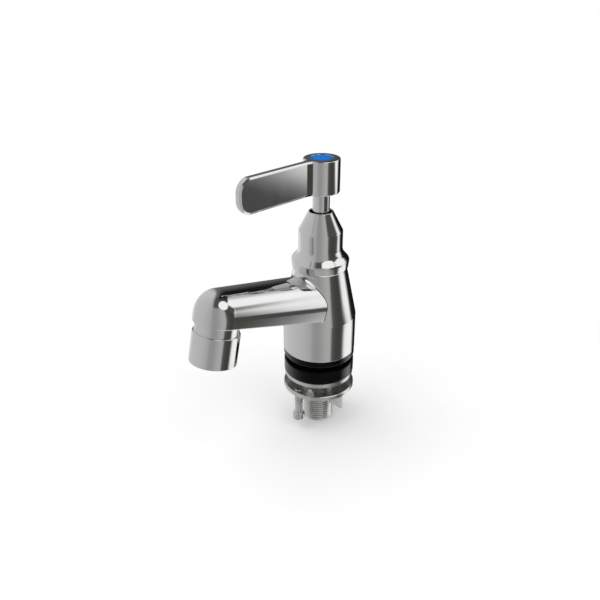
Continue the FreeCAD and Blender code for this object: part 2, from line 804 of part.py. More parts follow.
def paddle_face_edge(edge):
    """Edges round the two faces of the paddle, without its root."""
    box = edge.BoundBox
    flat = box.XLength < 1e-6 and abs(abs(box.XMin) - half_paddle.number) < 1e-6
    return flat and box.YMin < -1e-6


dress(lever, "paddle_bevel", "Chamfer", d.lever_bevel, paddle_face_edge)
stem_low = d.lever_base - d.stem_length
turn(lever, "hub", [
    (0, stem_low),
    (d.stem_radius - d.edge_break, stem_low),
    (d.stem_radius, stem_low + d.edge_break),
    (d.stem_radius, d.lever_base),
    (d.hub_radius - d.hub_round, d.lever_base),
    (d.hub_radius, d.lever_base + d.hub_round),
    (d.hub_radius, lever_top - d.hub_round),
    (d.hub_radius - d.hub_round, lever_top),
    (0, lever_top),
], arcs={4: (d.hub_round, True), 6: (d.hub_round, True)})
index_low = lever_top - d.index_height
spline_bore = d.spline_radius + d.turn_fit
turn(lever, "hub_bores", [
    (0, stem_low),
    (spline_bore, stem_low),
    (spline_bore, spline_top + d.slip_fit),
    (d.screw_radius + d.slip_fit, spline_top + d.slip_fit),
    (d.screw_radius + d.slip_fit, screw_top),
    (d.screw_pocket_radius, screw_top),
    (d.screw_pocket_radius, index_low),
    (d.index_radius + d.turn_fit, index_low),
    (d.index_radius + d.turn_fit, lever_top),
    (0, lever_top),
], cut=True)

index = new_body("index_disc")
turn(index, "index_button", [
    (0, index_low),
    (d.index_radius, index_low),
    (d.index_radius, lever_top - d.turn_fit),
    (d.index_radius - d.turn_fit, lever_top),
    (0, lever_top),
])

screw = new_body("handle_screw")
turn(screw, "screw_blank", [
    (0, screw_top - d.screw_length),
    (d.screw_radius, screw_top - d.screw_length),
    (d.screw_radius, screw_top),
    (d.screw_head_radius, screw_top),
    (d.screw_head_radius, screw_top + d.screw_head_height),
    (0, screw_top + d.screw_head_height),
])
socket = new_sketch(screw, "socket_outline", "XY_Plane", screw_top + d.screw_head_height)
draw(socket, hexagon_points(d.hex_key_flat))
extrude(screw, "screw_socket", socket, d.screw_head_height * 2 / 3, cut=True)

# Aerator: sleeve with washer, regulator, sieve and cell insert, all about the outlet's axis

sleeve_y = elbow_y - lean_y * d.outlet_drop
sleeve_z = elbow_z - lean_z * d.outlet_drop
thread_low = -d.outlet_thread_length
washer_low = thread_low - d.aerator_washer_height
regulator_low = washer_low - d.regulator_height
screen_low = regulator_low - d.screen_height
lip_top = d.aerator_lip - d.aerator_length
thread_bore_outlet = d.outlet_thread_radius + d.turn_fit
inside = d.outlet_thread_radius
sleeve = new_body("aerator_housing")
turn(sleeve, "sleeve", [
    (d.aerator_mouth, -d.aerator_length),
    (d.aerator_radius - d.edge_break, -d.aerator_length),
    (d.aerator_radius, d.edge_break - d.aerator_length),
    (d.aerator_radius, -d.edge_break),
    (d.aerator_radius - d.edge_break, 0),
    (thread_bore_outlet, 0),
    (thread_bore_outlet, washer_low),
    (d.aerator_bore, washer_low),
    (d.aerator_bore, lip_top),
    (d.aerator_mouth, lip_top),
])
place(sleeve, sleeve_y, sleeve_z, d.outlet_angle)
washer = ring("aerator_washer", d.outlet_way_radius, inside, washer_low, thread_low)
place(washer, sleeve_y, sleeve_z, d.outlet_angle)


def cells(body, name, level, depth, radius, rings_of_cells):
    """Rings of round cells through a disc, six more in each ring."""
    middle = new_sketch(body, f"{name}_middle_outline", "XY_Plane", level)
    draw_circle(middle, 0, 0, radius)
    extrude(body, f"{name}_middle", middle, depth, cut=True)
    for number in range(1, rings_of_cells + 1):
        sketch = new_sketch(body, f"{name}_outline_{number}", "XY_Plane", level)
        draw_circle(sketch, d.cell_pitch * number, 0, radius)
        feature = extrude(body, f"{name}_{number}", sketch, depth, cut=True)
        circular(body, f"{name}_ring_{number}", feature, 6 * number)


regulator = new_body("flow_regulator")
turn(regulator, "regulator_blank", [
    (0, regulator_low),
    (inside, regulator_low),
    (inside, washer_low),
    (0, washer_low),
])
cells(regulator, "regulator_port", washer_low, d.regulator_height, d.cell_radius, 1)
place(regulator, sleeve_y, sleeve_z, d.outlet_angle)
screen = new_body("aerator_screen")
turn(screen, "screen_blank", [
    (0, screen_low),
    (inside, screen_low),
    (inside, regulator_low),
    (0, regulator_low),
])
cells(screen, "screen_port", regulator_low, d.screen_height, d.cell_radius, 2)
place(screen, sleeve_y, sleeve_z, d.outlet_angle)
insert = new_body("aerator_insert")
insert_radius = d.aerator_bore - d.turn_fit
turn(insert, "insert_cup", [
    (0, lip_top),
    (insert_radius, lip_top),
    (insert_radius, screen_low),
    (insert_radius - d.insert_rim, screen_low),
    (insert_radius - d.insert_rim, lip_top + d.insert_plate),
    (0, lip_top + d.insert_plate),
])
cells(insert, "insert_cell", lip_top + d.insert_plate, d.insert_plate, d.cell_radius, 3)
place(insert, sleeve_y, sleeve_z, d.outlet_angle)

# Deck clamp: rubber ring and steel washer

deck_washer = new_body("deck_washer")
turn(deck_washer, "deck_washer_ring", [
    (clamp_bore, plate_top),
    (d.deck_washer_radius - d.edge_break, plate_top),
    (d.deck_washer_radius, plate_top + d.edge_break),
    (d.deck_washer_radius, deck_washer_top - d.edge_break),
    (d.deck_washer_radius - d.edge_break, deck_washer_top),
    (clamp_bore, deck_washer_top),
])
steel_washer = new_body("steel_washer")
turn(steel_washer, "steel_washer_ring", [
    (clamp_bore, plate_low),
    (plate_radius - d.edge_break, plate_low),
    (plate_radius, plate_low + d.edge_break),
    (plate_radius, plate_top - d.edge_break),
    (plate_radius - d.edge_break, plate_top),
    (clamp_bore, plate_top),
])

# Flange nut with two wings, two gripping prongs and two tapped holes

nut = new_body("locknut")
nut_bore = d.shank_radius + d.turn_fit
hub_low = flange_low - d.nut_hub_height
turn(nut, "nut_flange", [
    (nut_bore, hub_low),
    (d.nut_hub_radius, hub_low),
    (d.nut_hub_radius, flange_low),
    (d.flange_radius - d.edge_break, flange_low),
    (d.flange_radius, flange_low + d.edge_break),
    (d.flange_radius, flange_top - d.edge_break),
    (d.flange_radius - d.edge_break, flange_top),
    (nut_bore, flange_top),
])
wing_root = (nut_bore + d.nut_hub_radius) / 2
wing_edge = d.flange_radius - d.wing_inset
wing = new_sketch(nut, "wing_outline", "XZ_Plane")
draw(wing, [
    (wing_root, flange_low - d.wing_height),
    (wing_edge, flange_low - d.wing_height),
    (wing_edge, flange_low + d.edge_break),
    (wing_root, flange_low + d.edge_break),
])
wing_pad = extrude(nut, "wing", wing, d.wing_width, both=True)
circular(nut, "wings", wing_pad, 2)
jack_hole = new_sketch(nut, "jack_hole_outline", "XY_Plane", flange_top)
draw_circle(jack_hole, 0, -jack_offset, d.jack_radius + d.turn_fit)
jack_bore = extrude(nut, "jack_hole", jack_hole, d.flange_height, cut=True)
circular(nut, "jack_holes", jack_bore, 2)
prong = new_sketch(nut, "prong_outline", "XY_Plane", flange_top)
aim_x = sine(d.prong_angle)
aim_y = -cosine(d.prong_angle)


def prong_point(out, aside):
    return (aim_x * out - aim_y * aside, aim_y * out + aim_x * aside)


half_prong = d.prong_width / 2
prong_radius = d.flange_radius - d.prong_inset
draw(prong, [
    prong_point(prong_radius - d.prong_thick, -half_prong),
    prong_point(prong_radius, -half_prong),
    prong_point(prong_radius, half_prong),
    prong_point(prong_radius - d.prong_thick, half_prong),
])
prong_tip = new_sketch(nut, "prong_tip_outline", "XY_Plane", flange_top + d.prong_height)
half_tip = d.prong_thick / 2
draw(prong_tip, [
    prong_point(prong_radius - d.prong_thick, -half_tip),
    prong_point(prong_radius, -half_tip),
    prong_point(prong_radius, half_tip),
    prong_point(prong_radius - d.prong_thick, half_tip),
])
prong_body = nut.newObject("PartDesign::AdditiveLoft", "prong")
prong_body.Profile = prong
prong_body.Sections = [prong_tip]
prong_body.Ruled = True
doc.recompute()
circular(nut, "prongs", prong_body, 2)

# Jack screws, one in front and one behind

for label, side in (("jack_screw_front", -1), ("jack_screw_rear", 1)):
    jack = new_body(label)
    jack_top = flange_top + d.jack_proud
    jack_low = flange_top - d.jack_reach
    head_top = jack_low + d.jack_head_height
    turn(jack, f"{label}_blank", [
        (0, jack_low),
        (d.jack_head_radius - d.edge_break, jack_low),
        (d.jack_head_radius, jack_low + d.edge_break),
        (d.jack_head_radius, head_top - d.edge_break),
        (d.jack_head_radius - d.edge_break, head_top),
        (d.jack_radius, head_top),
        (d.jack_radius, jack_top - d.edge_break),
        (d.jack_radius - d.edge_break, jack_top),
        (0, jack_top),
    ])
    slot = new_sketch(jack, f"{label}_slot_outline", "XY_Plane", jack_low)
    half_slot = d.jack_slot_width / 2
    draw(slot, [
        (-half_slot, -d.jack_head_radius),
        (half_slot, -d.jack_head_radius),
        (half_slot, d.jack_head_radius),
        (-half_slot, d.jack_head_radius),
    ])
    extrude(jack, f"{label}_slot", slot, d.jack_slot_depth, cut=True, reverse=True)
    place(jack, jack_offset * side, Size("0", 0.0))

# Checks, then one file for each piece

doc.recompute()
for item in doc.Objects:
    if "Invalid" in item.State or "Error" in item.State:
        raise RuntimeError(f"{item.Name} failed: {item.State}")
pieces = [item for item in doc.Objects if item.TypeId == "PartDesign::Body"] + [rings]
for piece in pieces:
    if piece.Shape.isNull() or not piece.Shape.isValid():
        raise RuntimeError(f"{piece.Label} has no valid shape")
os.makedirs("parts", exist_ok=True)
for piece in pieces:
    piece.Shape.exportStep(f"parts/{piece.Label}.step")
    print(piece.Label, len(piece.Shape.Solids), round(piece.Shape.Volume, 1))
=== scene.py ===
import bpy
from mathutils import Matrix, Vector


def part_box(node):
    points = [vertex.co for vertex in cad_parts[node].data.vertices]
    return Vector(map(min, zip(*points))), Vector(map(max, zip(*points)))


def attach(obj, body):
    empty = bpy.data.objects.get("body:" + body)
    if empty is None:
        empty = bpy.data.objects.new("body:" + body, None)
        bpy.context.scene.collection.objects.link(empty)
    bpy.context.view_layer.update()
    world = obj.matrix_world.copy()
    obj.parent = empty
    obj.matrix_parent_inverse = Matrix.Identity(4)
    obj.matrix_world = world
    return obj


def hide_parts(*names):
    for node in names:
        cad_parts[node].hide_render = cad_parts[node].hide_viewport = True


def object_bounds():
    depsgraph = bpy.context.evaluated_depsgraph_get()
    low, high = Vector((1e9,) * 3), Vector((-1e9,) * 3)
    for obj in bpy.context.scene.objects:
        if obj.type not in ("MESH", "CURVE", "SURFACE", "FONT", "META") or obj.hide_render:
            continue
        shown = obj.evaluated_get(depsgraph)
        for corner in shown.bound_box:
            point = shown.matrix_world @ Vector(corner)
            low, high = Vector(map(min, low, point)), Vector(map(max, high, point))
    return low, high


bl_info = {
    "name": "Pillar tap",
    "version": (1, 0, 0),
    "blender": (4, 5, 0),
    "location": "3D View > Sidebar > Tap",
    "description": "Dresses the packed pillar tap with turned, threaded and moulded surfaces",
    "category": "Add Mesh",
}

import math

import bmesh
import bpy
import numpy as np
from mathutils import Matrix, Vector

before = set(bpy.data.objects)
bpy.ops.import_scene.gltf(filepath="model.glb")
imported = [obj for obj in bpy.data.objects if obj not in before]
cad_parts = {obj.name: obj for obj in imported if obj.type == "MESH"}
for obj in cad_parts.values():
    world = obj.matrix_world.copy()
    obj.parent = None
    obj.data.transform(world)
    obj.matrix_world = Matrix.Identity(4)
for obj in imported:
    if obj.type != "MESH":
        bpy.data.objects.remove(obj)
cad_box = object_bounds()

MM = 0.001


POLISHED_EDGE = 24.0    # degrees between faces that make an edge in polished metal


# Shapes: outlines, turned surfaces, threads

GUARD = 0.04 * MM       # from the end of a rounding to the next point of the flat stretch


def swung(arm, angle):
    """A flat vector turned by an angle."""
    return np.array([
        arm[0] * math.cos(angle) - arm[1] * math.sin(angle),
        arm[0] * math.sin(angle) + arm[1] * math.cos(angle),
    ])


def soften(corners, step=10.0):
    """Polyline through (radius, height, rounding) corners, each rounding drawn as an arc.

    A point close to both ends of an arc keeps the straight stretches flat in smooth shading.
    """
    count = len(corners)
    line = []
    for index, (x, y, rounding) in enumerate(corners):
        here = np.array([x, y])
        if not rounding or index in (0, count - 1):
            line.append(here)
            continue
        before = np.array(corners[index - 1][:2]) - here
        after = np.array(corners[index + 1][:2]) - here
        before /= np.linalg.norm(before)
        after /= np.linalg.norm(after)
        opening = math.acos(max(-1.0, min(1.0, float(before @ after))))
        reach = rounding / math.tan(opening / 2)
        middle = before + after
        centre = here + middle / np.linalg.norm(middle) * rounding / math.sin(opening / 2)
        start = here + before * reach - centre
        sweep = math.pi - opening
        if start[0] * (here - centre)[1] - start[1] * (here - centre)[0] < 0:
            sweep = -sweep
        pieces = max(2, math.ceil(abs(math.degrees(sweep)) / step))
        line.append(here + before * (reach + GUARD))
        for part in range(pieces + 1):
            line.append(centre + swung(start, sweep * part / pieces))
        line.append(here + after * (reach + GUARD))
    return np.array(line)


def turned(line, steps):
    """Grid of points made by turning a (radius, height) line about +Z."""
    angles = np.arange(steps) * 2 * math.pi / steps
    radius, height = line[:, :1], line[:, 1:]
    return np.stack([
        radius * np.cos(angles),
        radius * np.sin(angles),
        np.broadcast_to(height, (len(line), steps)),
    ], axis=2)


def moved(grid, matrix):
    """The same grid in another place."""
    spin = np.array(matrix.to_3x3())
    return grid @ spin.T + np.array(matrix.translation)


class Skin:
    """Vertices and faces of one piece, gathered from several grids."""

    def __init__(self):
        self.points = []
        self.faces = []
        self.total = 0

    def add(self, grid, wrap=True, flip=False):
        """Faces between the rows of a grid, closed round its columns where it wraps."""
        rows, columns = grid.shape[:2]
        first = self.total
        self.points.append(grid.reshape(-1, 3))
        self.total += rows * columns
        for row in range(rows - 1):
            for column in range(columns if wrap else columns - 1):
                after = (column + 1) % columns
                face = (
                    first + row * columns + column,
                    first + row * columns + after,
                    first + (row + 1) * columns + after,
                    first + (row + 1) * columns + column,
                )
                self.faces.append(face[::-1] if flip else face)

    def cap(self, ring, flip=False):
        """Flat face over a ring of points."""
        first = self.total
        self.points.append(np.asarray(ring))
        self.total += len(ring)
        face = tuple(range(first, self.total))
        self.faces.append(face[::-1] if flip else face)

    def piece(self, name, material, crease=32.0):
        """Smooth-shaded object, sharp at edges over the crease angle in degrees."""
        mesh = bpy.data.meshes.new(name)
        mesh.from_pydata(np.vstack(self.points).tolist(), [], self.faces)
        shape = bmesh.new()
        shape.from_mesh(mesh)
        bmesh.ops.remove_doubles(shape, verts=shape.verts, dist=1e-7)
        bmesh.ops.dissolve_degenerate(shape, dist=1e-8, edges=shape.edges)
        shape.to_mesh(mesh)
        shape.free()
        mesh.shade_smooth()
        mesh.set_sharp_from_angle(angle=math.radians(crease))
        mesh.materials.append(material)
        made = bpy.data.objects.new(name, mesh)
        bpy.context.scene.collection.objects.link(made)
        return made


def thread(skin, radius, depth, pitch, low, high, steps, lead):
    """Right-handed screw thread about +Z with a chamfer at its low end."""
    # share of the pitch, share of the depth
    flank = ((0.0, 0.0), (0.06, 0.02), (0.14, 0.16), (0.36, 0.84), (0.44, 0.98),
             (0.56, 0.98), (0.64, 0.84), (0.86, 0.16), (0.94, 0.02))
    turns = math.ceil((high - low) / pitch) + 1
    along = np.arange(turns * steps + 1)
    angles = along * 2 * math.pi / steps
    columns = []
    for share, cut in flank + ((1.0, 0.0),):
        height = np.clip(low + pitch * (along / steps - 1 + share), low, high)
        reach = np.minimum(radius - depth * cut, radius - lead + (height - low))
        columns.append(np.stack([reach * np.cos(angles), reach * np.sin(angles), height], axis=1))
    skin.add(np.stack(columns, axis=1), wrap=False, flip=True)


def end_ring(skin, inner, outer, height, steps, flip=False):
    """Flat annulus that closes a turned piece."""
    skin.add(turned(np.array([[inner, height], [outer, height]]), steps), flip=flip)


def dress(made, body, node):
    """Puts a piece on its body in place of a CAD node."""
    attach(made, body)
    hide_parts(node)


def refinish(node, material):
    """Gives a CAD node that keeps its shape another finish."""
    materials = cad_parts[node].data.materials
    materials.clear()
    materials.append(material)


def shade(colour, share):
    return tuple(part * share for part in colour)


# Materials

class Finish:
    """A node material with helpers for object-space patterns."""

    def __init__(self, name):
        self.material = bpy.data.materials.new(name)
        self.material.use_nodes = True
        self.nodes = self.material.node_tree.nodes
        self.links = self.material.node_tree.links
        self.shader = self.nodes["Principled BSDF"]
        self.place = self.nodes.new("ShaderNodeTexCoord").outputs["Object"]

    def set(self, **values):
        """Plain values of the shader, by socket name."""
        for key, value in values.items():
            self.shader.inputs[key.replace("_", " ")].default_value = value
        return self

    def noise(self, scale, detail=3.0, stretch=None):
        """Soft random pattern, drawn out along an axis where stretch says so."""
        node = self.nodes.new("ShaderNodeTexNoise")
        node.inputs["Scale"].default_value = scale
        node.inputs["Detail"].default_value = detail
        source = self.place
        if stretch:
            mapping = self.nodes.new("ShaderNodeMapping")
            mapping.inputs["Scale"].default_value = stretch
            self.links.new(source, mapping.inputs["Vector"])
            source = mapping.outputs["Vector"]
        self.links.new(source, node.inputs["Vector"])
        return node.outputs["Fac"]

    def ramp(self, source, low, high, start=0.3, stop=0.7):
        """From low to high while the source goes from start to stop."""
        node = self.nodes.new("ShaderNodeMapRange")
        node.inputs["From Min"].default_value = start
        node.inputs["From Max"].default_value = stop
        node.inputs["To Min"].default_value = low
        node.inputs["To Max"].default_value = high
        self.links.new(source, node.inputs["Value"])
        return node.outputs["Result"]

    def vary(self, factor, one, two):
        """Base colour that wanders between two colours."""
        node = self.nodes.new("ShaderNodeMix")
        node.data_type = "RGBA"
        node.inputs["A"].default_value = (*one, 1.0)
        node.inputs["B"].default_value = (*two, 1.0)
        self.links.new(factor, node.inputs["Factor"])
        self.drive("Base Color", node.outputs["Result"])

    def math(self, operation, one, two=None):
        node = self.nodes.new("ShaderNodeMath")
        node.operation = operation
        for socket, value in zip(node.inputs, (one, two)):
            if value is None:
                continue
            if isinstance(value, (int, float)):
                socket.default_value = value
            else:
                self.links.new(value, socket)
        return node.outputs["Value"]

    def split(self, vector):
        """The three parts of a vector."""
        node = self.nodes.new("ShaderNodeSeparateXYZ")
        self.links.new(vector, node.inputs["Vector"])
        return tuple(node.outputs[axis] for axis in "XYZ")

    def reach(self):
        """Distance from the +Z axis."""
        right, back, _ = self.split(self.place)
        square = self.math("ADD", self.math("POWER", right, 2.0), self.math("POWER", back, 2.0))
        return self.math("SQRT", square)

    def around(self, ring_scale, line_scale):
        """Fine lines that run round the +Z axis."""
        height = self.split(self.place)[2]
        join = self.nodes.new("ShaderNodeCombineXYZ")
        self.links.new(self.math("MULTIPLY", self.reach(), ring_scale), join.inputs["X"])
        self.links.new(self.math("MULTIPLY", height, line_scale), join.inputs["Y"])
        node = self.nodes.new("ShaderNodeTexNoise")
        node.inputs["Scale"].default_value = 1.0
        node.inputs["Detail"].default_value = 4.0
        self.links.new(join.outputs["Vector"], node.inputs["Vector"])
        return node.outputs["Fac"]

    def bump(self, source, strength, distance):
        node = self.nodes.new("ShaderNodeBump")
        node.inputs["Strength"].default_value = strength
        node.inputs["Distance"].default_value = distance
        self.links.new(source, node.inputs["Height"])
        self.links.new(node.outputs["Normal"], self.shader.inputs["Normal"])

    def drive(self, socket, source):
        self.links.new(source, self.shader.inputs[socket])


def chrome_plate(tint):
    """Polished plate over a casting, with faint wiping marks and a hint of waviness."""
    finish = Finish("chrome_plate").set(Metallic=1.0)
    smears = finish.noise(70.0, 5.0, (1.0, 1.0, 0.35))
    finish.drive("Roughness", finish.ramp(smears, 0.035, 0.085))
    finish.vary(finish.ramp(finish.noise(40.0, 2.0), 0.0, 1.0), tint, shade(tint, 0.955))
    finish.bump(finish.noise(45.0, 1.0), 0.02, 0.00003)
    return finish.material


def plated_thread(tint):
    """Bright plated brass thread, with painted shade that darkens it down in its roots."""
    finish = Finish("plated_thread").set(Metallic=1.0)
    grain = finish.noise(900.0, 4.0)
    finish.drive("Roughness", finish.ramp(grain, 0.16, 0.34))
    # Painted shade: the colour falls to 62% of the tint from the crests down into the roots.
    painted_root_shade = finish.ramp(finish.reach(), 0.0, 1.0, 9.25 * MM, 10.3 * MM)
    finish.vary(painted_root_shade, shade(tint, 0.62), tint)
    finish.bump(grain, 0.12, 0.00003)
    return finish.material


def zinc_plate(tint):
    """Pressed and turned steel with a bright zinc coat and fine lines round the axis."""
    finish = Finish("zinc_plate").set(Metallic=1.0)
    lines = finish.around(5200.0, 2600.0)
    finish.drive("Roughness", finish.ramp(lines, 0.14, 0.30))
    finish.vary(finish.ramp(finish.noise(160.0, 4.0), 0.0, 1.0), shade(tint, 0.86), tint)
    finish.bump(lines, 0.10, 0.00003)
    return finish.material


def screw_steel(tint):
    """Bright steel of the screws, the clip and the strainer."""
    finish = Finish("screw_steel").set(Metallic=1.0)
    grain = finish.noise(700.0, 4.0)
    finish.drive("Roughness", finish.ramp(grain, 0.16, 0.34))
    finish.vary(finish.ramp(finish.noise(240.0, 2.0), 0.0, 1.0), shade(tint, 0.8), tint)
    finish.bump(grain, 0.15, 0.00003)
    return finish.material


def moulded_rubber(colour, name="moulded_rubber"):
    """Moulded rubber, black face on and mirroring the studio faintly where it turns away."""
    finish = Finish(name)
    glance = finish.nodes.new("ShaderNodeFresnel")
    glance.inputs["IOR"].default_value = 1.45
    finish.drive("Specular IOR Level", finish.ramp(glance.outputs["Fac"], 0.06, 0.6, 0.037, 0.085))
    mottle = finish.noise(260.0, 4.0)
    finish.drive("Roughness", finish.ramp(mottle, 0.13, 0.26))
    finish.vary(finish.ramp(finish.noise(90.0, 3.0), 0.0, 1.0), colour, shade(colour, 1.7))
    finish.bump(finish.around(3000.0, 900.0), 0.10, 0.00005)
    return finish.material


def turned_brass():
    """Bare brass with fine turning lines."""
    finish = Finish("turned_brass").set(Metallic=1.0)
    lines = finish.around(4200.0, 2400.0)
    finish.drive("Roughness", finish.ramp(lines, 0.18, 0.36))
    finish.vary(finish.ramp(finish.noise(200.0, 3.0), 0.0, 1.0), (0.60, 0.42, 0.18), (0.74, 0.56, 0.27))
    finish.bump(lines, 0.15, 0.00004)
    return finish.material


def lapped_ceramic():
    """Pale alumina of the two discs."""
    finish = Finish("lapped_ceramic")
    speckle = finish.noise(1400.0, 3.0)
    finish.drive("Roughness", finish.ramp(speckle, 0.25, 0.42))
    finish.vary(finish.ramp(speckle, 0.0, 1.0), (0.80, 0.78, 0.73), (0.90, 0.89, 0.86))
    finish.bump(speckle, 0.08, 0.00002)
    return finish.material


def white_moulding():
    """Matt acetal of the insert and the slip ring."""
    finish = Finish("white_moulding")
    grain = finish.noise(800.0, 4.0)
    finish.drive("Roughness", finish.ramp(grain, 0.38, 0.55))
    finish.vary(finish.ramp(finish.noise(120.0, 2.0), 0.0, 1.0), (0.74, 0.75, 0.74), (0.83, 0.83, 0.81))
    finish.bump(grain, 0.12, 0.00004)
    return finish.material


def index_blue(colour):
    """Glossy insert, darker towards its rim with painted shade where it meets the hub's pocket."""
    finish = Finish("index_blue").set(Specular_IOR_Level=0.14)
    # Painted shade: the colour darkens to 62% from 4.8 mm out to 7.2 mm, at the pocket's wall.
    rim = finish.ramp(finish.reach(), 0.0, 1.0, 4.8 * MM, 7.2 * MM)
    finish.vary(rim, colour, shade(colour, 0.62))
    finish.drive("Roughness", finish.ramp(finish.noise(300.0, 3.0), 0.10, 0.18))
    finish.bump(finish.noise(500.0, 2.0), 0.05, 0.00003)
    return finish.material


def pale_floor():
    """Paper sweep that fades into the white background away from the object."""
    finish = Finish("pale_floor")
    paper = finish.noise(9.0, 3.0)
    finish.drive("Roughness", finish.ramp(paper, 0.85, 0.95))
    finish.vary(finish.ramp(paper, 0.0, 1.0), (0.93, 0.93, 0.93), (0.95, 0.95, 0.95))
    finish.drive("Alpha", finish.ramp(finish.reach(), 1.0, 0.0, 0.10, 0.32))
    return finish.material


# Studio: what the polished metal sees, as cards and gaps round the object.
# Each table holds (azimuth in degrees from -Y towards +X, brightness).

WALLS = (
    (-180, 0.008), (-150, 0.012), (-142, 0.05), (-136, 0.10), (-130, 0.13), (-124, 0.19), (-120.5, 0.32),
    (-118, 0.50), (-112, 0.62), (-105, 0.67), (-92, 0.65), (-76, 0.62), (-30, 0.57), (-8, 0.53), (4, 0.49),
    (12, 0.465), (18, 0.43), (24, 0.365), (30, 0.345), (40, 0.345), (48, 0.375), (56, 0.42), (64, 0.455),
    (72, 0.485), (77.5, 0.465), (80.5, 0.38), (85, 0.11), (96, 0.07), (110, 0.06), (120, 0.07), (130, 0.08),
    (180, 0.008),
)
TALL_BOX = (
    (114, 0.0), (117.3, 0.07), (119.3, 0.115), (121.4, 0.18), (123.5, 0.29), (125.7, 0.46), (128, 0.70),
    (130, 0.88), (134, 1.02), (142, 1.10), (180, 1.12),
)
UPPER_BOX = (
    (126, 0.0), (129, 0.45), (132, 0.95), (138, 1.10), (160, 1.13), (167, 1.08), (172, 0.96), (175, 0.80),
    (179, 0.66), (183, 0.55), (187, 0.43), (191, 0.25), (195, 0.08), (199, 0.0),
)
CEILING = (0.5577, -0.0019, 0.8300)     # direction of the round light
DARK_TOP = 0.085
RING_START = -180.0
RING_STOP = 220.0


def ring(finish, azimuth, cards):
    """Brightness round the horizon, from a table."""
    ramp = finish.nodes.new("ShaderNodeValToRGB")
    stops = ramp.color_ramp.elements
    while len(stops) < len(cards):
        stops.new(0.5)
    for stop, (angle, value) in zip(stops, cards):
        stop.position = (angle - RING_START) / (RING_STOP - RING_START)
        stop.color = (value, value, value, 1)
    share = finish.ramp(azimuth, 0.0, 1.0, math.radians(RING_START), math.radians(RING_STOP))
    finish.links.new(share, ramp.inputs["Fac"])
    return ramp.outputs["Color"]


